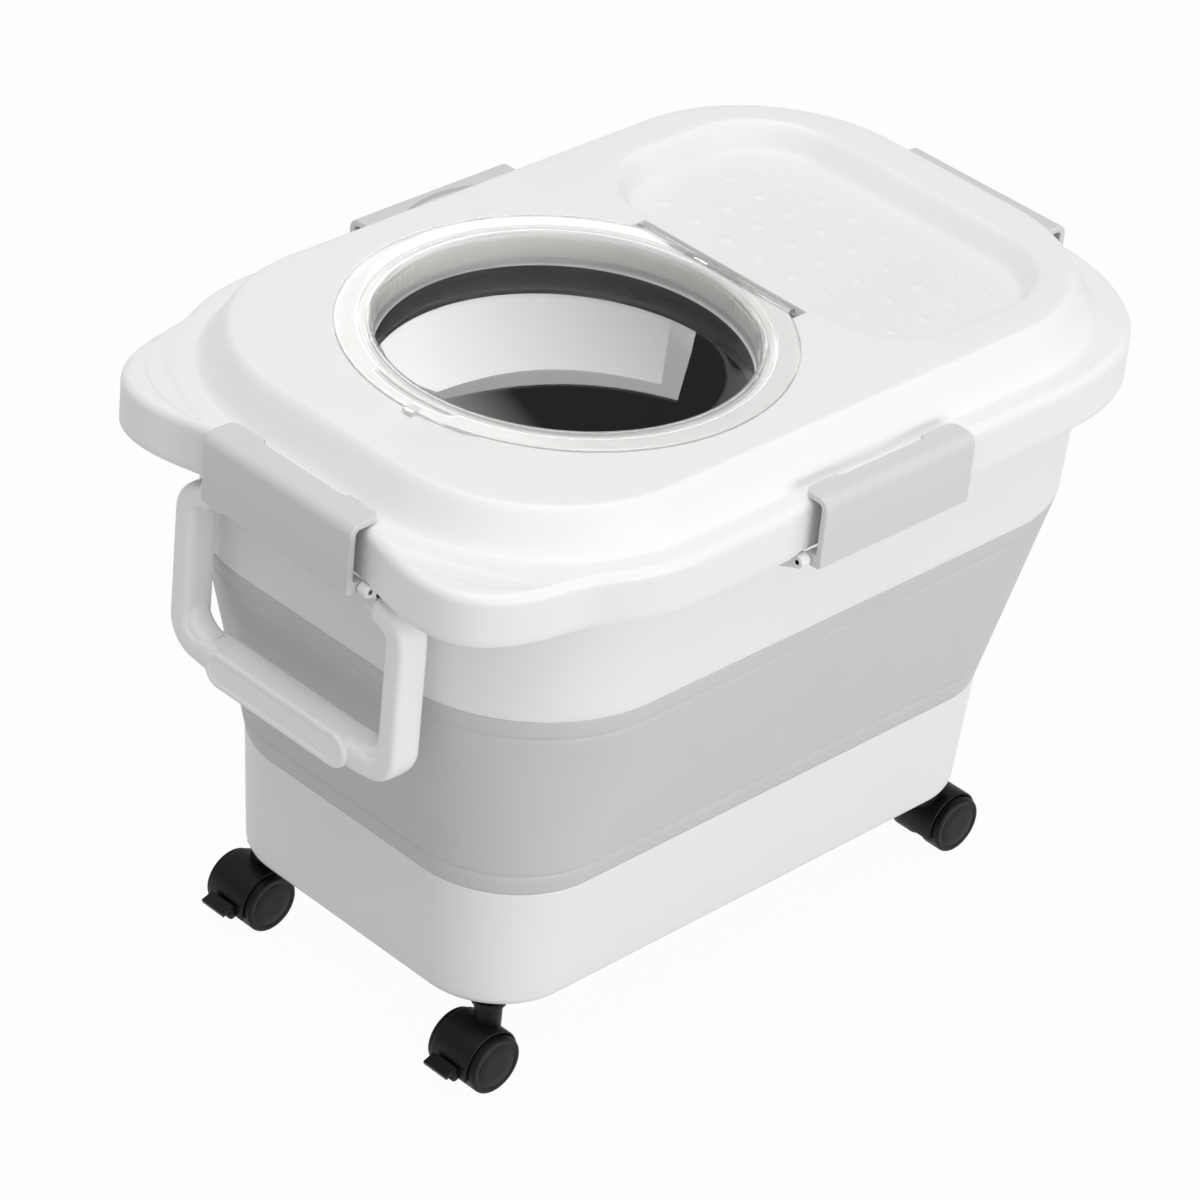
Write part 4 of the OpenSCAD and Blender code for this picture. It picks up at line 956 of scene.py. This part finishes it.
class BIN_OT_body(PieceOperator, Operator):
    """Tub, folding band and collar"""

    bl_idname = "bin.body"
    bl_label = "Body"

    def execute(self, context):
        white = [finish_of("moulded_polypropylene_white")]
        self.finish(tub_surface().build("tub_shell", white), "base", "white_pp", "tub")
        band = band_surface().build("band_shell", [finish_of("soft_elastomer_grey")], sharp=60)
        self.finish(band, None, "grey_tpe", "fold_band")
        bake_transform(band)
        self.finish(collar_surface().build("collar_shell", white), "collar_body", "white_pp", "collar")
        self.finish(ears_surface().build("collar_ears", white), "collar_body", "white_pp")
        return {"FINISHED"}


class BIN_OT_lid(PieceOperator, Operator):
    """Moulded lid with its finger lobes, tray and cover recess"""

    bl_idname = "bin.lid"
    bl_label = "Lid"

    def execute(self, context):
        white = [finish_of("moulded_polypropylene_white")]
        lid = lid_surface().build("lid_shell", white, sharp=40)
        wall = lid.modifiers.new("wall", "SOLIDIFY")
        wall.thickness = WALL * MM
        wall.offset = -1
        self.finish(lid, "lid_body", "white_pp", "main_lid")
        self.finish(tray_bumps().build("tray_bumps", white), "lid_body", "white_pp")
        return {"FINISHED"}


class BIN_OT_cover(PieceOperator, Operator):
    """Clear flip cover with its hinge barrel"""

    bl_idname = "bin.cover"
    bl_label = "Flip cover"

    def execute(self, context):
        # the pane's dark tint paints the shade of the bin's inside seen through it
        clear, shaded_pane = finish_of("clear_polystyrene"), finish_of("painted_shade_pane")
        cover = cover_surface().build("flip_cover_shell", [clear, shaded_pane])
        self.finish(cover, "flip_cover_body", "clear_cover", "flip_cover")
        barrel = rod(BARREL_R, -HINGE_HALF, HINGE_HALF).moved(ALONG_X)
        barrel = barrel.moved(Matrix.Translation((0, Y_HINGE, Z_HINGE)))
        self.finish(barrel.build("flip_cover_barrel", [clear]), "flip_cover_body", "clear_cover")
        return {"FINISHED"}


class BIN_OT_latches(PieceOperator, Operator):
    """Four hooked latches"""

    bl_idname = "bin.latches"
    bl_label = "Latches"

    def execute(self, context):
        grey = [finish_of("moulded_polypropylene_grey")]
        for name, (turn, plane, _, hook) in STATIONS.items():
            piece = latch_surface(hook).moved(upright(turn, plane)).build("latch_plate_" + name, grey)
            self.finish(piece, f"latch_{name}_body", "grey_pp", "latch_" + name)
        return {"FINISHED"}


class BIN_OT_handle(PieceOperator, Operator):
    """Bail handle with its blank plate"""

    bl_idname = "bin.handle"
    bl_label = "Handle"

    def execute(self, context):
        white = [finish_of("moulded_polypropylene_white")]
        bail = handle_surface().add(gusset_surface(1)).add(gusset_surface(-1))
        self.finish(bail.build("handle_bail", white), "handle_body", "white_pp", "carry_handle")
        self.finish(plate_surface().build("handle_plate", white), "handle_body", "white_pp")
        return {"FINISHED"}


class BIN_OT_casters(PieceOperator, Operator):
    """Four twin-wheel casters, the front pair with brake levers"""

    bl_idname = "bin.casters"
    bl_label = "Casters"

    def execute(self, context):
        black, tread = [finish_of("moulded_nylon_black")], [finish_of("caster_tread_black")]
        wheel = wheel_surface()
        for corner in ("fl", "fr", "rl", "rr"):
            place = caster_frame(corner)
            hood = hood_surface(corner[0] == "f").moved(place).build("hood_" + corner, black)
            self.finish(hood, "caster_" + corner, "black_nylon", "caster_hood_" + corner)
            for side, sign in (("left", -1), ("right", 1)):
                local = sign * (-1 if corner[0] == "f" else 1)
                out = Matrix.Translation((local * WHEEL_GAP, 0, 0)) @ Matrix.Diagonal((local, 1, 1, 1))
                disc = wheel.moved(place @ AT_AXLE @ out @ ALONG_X)
                piece = disc.build(f"wheel_disc_{corner}_{side}", tread)
                self.finish(piece, f"wheel_body_{corner}_{side}", "black_wheel", f"wheel_{corner}_{side}")
        return {"FINISHED"}


class BIN_OT_hardware(PieceOperator, Operator):
    """Finishes of the pins, seals, stems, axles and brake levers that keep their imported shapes"""

    bl_idname = "bin.hardware"
    bl_label = "Hardware"

    def execute(self, context):
        kinds = {"seal": "silicone_seal", "stem": "moulded_nylon_black", "brake": "moulded_nylon_black"}
        for name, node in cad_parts.items():
            if node.hide_render:
                continue
            finish = next((kinds[kind] for kind in kinds if kind in name), "drawn_steel")
            for slot in node.material_slots:
                slot.material = finish_of(finish)
        return {"FINISHED"}


# Camera: turn round the bin, height above the horizon and roll in degrees, distance and shift in mm, and
# the focal length in pixels of a frame FRAME wide. Unit scales its millimetres once floor has raised them.
CAMERA = {"azimuth": 42.7288, "elevation": 32.7639, "roll": 5.9147, "distance": 2984.0, "focal": 5239.94,
          "right": 15.678, "up": 6.042, "target": (0.0, 0.0, 180.0), "unit": 0.869, "floor": 20.53}
FRAME, SENSOR = 1200, 36.0


def camera_axes():
    """Place of the camera in millimetres and its right, up and back directions."""
    a, e, roll = (math.radians(CAMERA[k]) for k in ("azimuth", "elevation", "roll"))
    back = np.array([math.sin(a) * math.cos(e), -math.cos(a) * math.cos(e), math.sin(e)])
    right = np.array([math.cos(a), math.sin(a), 0.0])
    up = np.cross(back, right)
    c, s = math.cos(roll), math.sin(roll)
    right, up = c * right + s * up, c * up - s * right
    place = np.array(CAMERA["target"]) + back * CAMERA["distance"]
    place -= right * CAMERA["right"] + up * CAMERA["up"]
    return CAMERA["unit"] * (place + [0, 0, CAMERA["floor"]]), right, up, back


def reflection_outline(side, arch, foot, radius, start, end):
    """Outline on the pane of the painted reflection's bright patch: points of its side, a cubic curve by its
    ends and controls, points of its foot, and back round the cup."""
    t = np.linspace(0, 1, 25)[:, None]
    a, b, c, d = np.array(arch, float)
    curve = a * (1 - t) ** 3 + 3 * b * t * (1 - t) ** 2 + 3 * c * t**2 * (1 - t) + d * t**3
    return np.vstack([side, curve, foot, arc(0, COVER_Y, radius, start, end, 12)])


# outlines on the pane of the painted reflection's bright patch, outer and inner, in mm
PAINTED_REFLECTION_OUTER = reflection_outline([(-10, 44), (30, -6)], [(58, -43), (4, -68), (-2, -114), (-9, -137)],
                      [(-25, -140), (-52, -133), (-78, -121)], 101, 205, 108)
PAINTED_REFLECTION_INNER = reflection_outline([(-15, 29), (15, -7)], [(43, -39), (0, -62), (-11, -86), (-14, -130)],
                      [(-27, -134), (-47, -130), (-70, -118)], 94, 207, 114)
CARD_AWAY = 1500.0


class BIN_OT_stage(PieceOperator, Operator):
    """Floor, lamps, surroundings and camera"""

    bl_idname = "bin.stage"
    bl_label = "Stage"

    def execute(self, context):
        scene, stage = context.scene, context.scene.bin_stage
        scene.view_settings.view_transform = "Standard"
        self.floor()
        self.world(scene, stage.world_level)
        self.lamp("side_lamp", (4.0, 0.2, 0.4), (0, 0, 0.2), (3.0, 1.4), stage.side_power)
        self.lamp("top_lamp", (0.0, -0.6, 3.4), (0, 0, 0.3), (3.0, 3.0), stage.top_power)
        # painted reflection in the pane: sheets that glow only for mirror rays
        self.painted_reflection_card(stage.painted_reflection_level)
        self.camera(scene)
        return {"FINISHED"}

    def camera(self, scene):
        """Camera whose lens gives CAMERA's focal length in pixels."""
        place, right, up, back = camera_axes()
        data = bpy.data.cameras.new("camera")
        data.sensor_width = SENSOR
        data.lens = CAMERA["focal"] / FRAME * SENSOR
        data.clip_end = 50
        camera = bpy.data.objects.new("camera", data)
        scene.collection.objects.link(camera)
        rows = np.column_stack([right, up, back, place * MM]).tolist()
        camera.matrix_world = Matrix([*rows, [0, 0, 0, 1]])
        scene.camera = camera

    def sheet(self, name, points, material):
        """One flat polygon of the set, from its corners in metres."""
        mesh = bpy.data.meshes.new(name)
        mesh.from_pydata(np.asarray(points, float).tolist(), [], [list(range(len(points)))])
        mesh.materials.append(material)
        sheet = bpy.data.objects.new(name, mesh)
        bpy.context.scene.collection.objects.link(sheet)

    def floor(self):
        """Pale floor: white where the camera, glass or metal sees it, still with part of the bin's
        shadow."""
        half, glow_share = 12.0, 0.97
        made, tree, output = new_material("pale_floor")
        path = add_node(tree, "ShaderNodeLightPath")
        kinds = ("Camera", "Glossy", "Transmission")
        seen = either(tree, *(path.outputs[f"Is {kind} Ray"] for kind in kinds))
        share = add_node(tree, "ShaderNodeMath", {"operation": "MULTIPLY"}, i0=seen, i1=glow_share)
        matt = add_node(tree, "ShaderNodeBsdfDiffuse", Color=linear("#BCBCBC"))
        glow = add_node(tree, "ShaderNodeEmission", Color=(1, 1, 1, 1), Strength=1.0)
        show_mix(tree, output, share.outputs[0], matt, glow)
        self.sheet("floor", [(x * half, y * half, 0) for x, y in ((-1, -1), (1, -1), (1, 1), (-1, 1))], made)

    def world(self, scene, level):
        """Even surroundings, seen as white."""
        world = bpy.data.worlds.new("surroundings")
        world.use_nodes = True
        tree = world.node_tree
        tree.nodes.clear()
        path = add_node(tree, "ShaderNodeLightPath")
        seen = either(tree, *(path.outputs[f"Is {kind} Ray"] for kind in ("Camera", "Transmission")))
        dim = add_node(tree, "ShaderNodeBackground", Color=(1, 1, 1, 1), Strength=level)
        full = add_node(tree, "ShaderNodeBackground", Color=(1, 1, 1, 1), Strength=1.0)
        show_mix(tree, tree.nodes.new("ShaderNodeOutputWorld"), seen, dim, full)
        scene.world = world

    def lamp(self, name, place, aim, size, power):
        """Soft rectangular lamp that looks at a point."""
        data = bpy.data.lights.new(name, "AREA")
        data.shape = "RECTANGLE"
        data.size, data.size_y = size
        data.energy = power
        lamp = bpy.data.objects.new(name, data)
        lamp.location = place
        lamp.rotation_euler = (Vector(aim) - Vector(place)).to_track_quat("-Z", "Y").to_euler()
        bpy.context.scene.collection.objects.link(lamp)

    def painted_reflection_card(self, level):
        """Painted reflection: a dark flag with a bright patch, a glow that is no lamp, seen only in
        mirror-smooth surfaces. Its outline is set by where its reflection falls on the pane: each corner is a
        point of the pane, sent up along the mirrored line of sight."""
        eye = camera_axes()[0]
        middle = np.array([0, COVER_Y, Z_PANE])
        axis = middle - eye
        axis /= np.linalg.norm(axis)
        axis[2] *= -1
        side = np.cross(axis, [0, 0, 1.0])
        side /= np.linalg.norm(side)
        up = np.cross(side, axis)

        def mirrored(points, nearer):
            p = np.column_stack([points, np.full(len(points), Z_PANE)])
            ray = p - eye
            ray /= np.linalg.norm(ray, axis=1)[:, None]
            ray[:, 2] *= -1
            return p + ray * ((CARD_AWAY - (p - middle) @ axis) / (ray @ axis))[:, None] - axis * nearer

        flag = [side * a + up * b for a, b in ((-1500, -900), (1500, -900), (1500, 900), (-1500, 900))]
        flag = np.array(flag) + middle + axis * (CARD_AWAY + 4)
        # dark flag and two bright patches of the painted reflection: name, corners, shares of the level,
        # reach
        cards = (("painted_reflection_flag", flag, (0.02, 0.26), (0.045, 0.088)),
                 ("painted_reflection_outer", mirrored(PAINTED_REFLECTION_OUTER, 4), (0.62, 0.42), (-0.12, -0.07)),
                 ("painted_reflection_inner", mirrored(PAINTED_REFLECTION_INNER, 8), (0.52, 1.12), (-0.08, 0.1)))
        for name, points, shares, reach in cards:
            material = self.painted_reflection_finish(name, level, shares, reach, up - side, middle + axis * CARD_AWAY)
            self.sheet(name, points * MM, material)

    def painted_reflection_finish(self, name, level, shares, reach, diagonal, centre):
        """Glow of the painted reflection, which only mirror-like surfaces see; it fades between two shares of
        the level over a reach in metres along the card's diagonal, measured from its centre."""
        made, tree, output = new_material(name)
        path = add_node(tree, "ShaderNodeLightPath")
        seen = add_node(tree, "ShaderNodeMath", {"operation": "MULTIPLY"}, i0=path.outputs["Is Singular Ray"],
                        i1=path.outputs["Is Glossy Ray"])
        place = add_node(tree, "ShaderNodeTexCoord").outputs["Object"]
        direction = diagonal / math.sqrt(2)
        along = add_node(tree, "ShaderNodeVectorMath", {"operation": "DOT_PRODUCT"}, i0=place,
                         i1=tuple(direction))
        middle = float(centre @ direction) * MM
        ramp = add_node(tree, "ShaderNodeMapRange", Value=along.outputs["Value"], From_Min=middle + reach[0],
                        From_Max=middle + reach[1], To_Min=shares[0] * level, To_Max=shares[1] * level)
        glow = add_node(tree, "ShaderNodeEmission", Color=(1, 1, 1, 1), Strength=ramp.outputs["Result"])
        clear = add_node(tree, "ShaderNodeBsdfTransparent", Color=(1, 1, 1, 1))
        show_mix(tree, output, seen.outputs[0], clear, glow)
        return made


class BIN_PT_panel(Panel):
    """Lists the bin's pieces, colours and lamps"""

    bl_idname = "BIN_PT_panel"
    bl_label = "Rice bin"
    bl_space_type = "VIEW_3D"
    bl_region_type = "UI"
    bl_category = "Rice bin"

    def draw(self, context):
        layout = self.layout
        for operator in OPERATORS:
            layout.operator(operator.bl_idname)
        for group in (context.scene.bin_colours, context.scene.bin_stage):
            box = layout.box()
            for name in group.bl_rna.properties.keys():
                if name not in ("rna_type", "name"):
                    box.prop(group, name)


OPERATORS = (BIN_OT_stage, BIN_OT_body, BIN_OT_lid, BIN_OT_cover, BIN_OT_latches, BIN_OT_handle,
             BIN_OT_casters, BIN_OT_hardware)
CLASSES = (BinColours, BinStage) + OPERATORS + (BIN_PT_panel,)


def register():
    for item in CLASSES:
        bpy.utils.register_class(item)
    bpy.types.Scene.bin_colours = PointerProperty(type=BinColours)
    bpy.types.Scene.bin_stage = PointerProperty(type=BinStage)


def unregister():
    del bpy.types.Scene.bin_stage
    del bpy.types.Scene.bin_colours
    for item in reversed(CLASSES):
        bpy.utils.unregister_class(item)


def main():
    register()
    bpy.ops.bin.body()
    bpy.ops.bin.lid()
    bpy.ops.bin.cover()
    bpy.ops.bin.latches()
    bpy.ops.bin.handle()
    bpy.ops.bin.casters()
    bpy.ops.bin.hardware()
    bpy.ops.bin.stage()


if __name__ == "__main__":
    main()
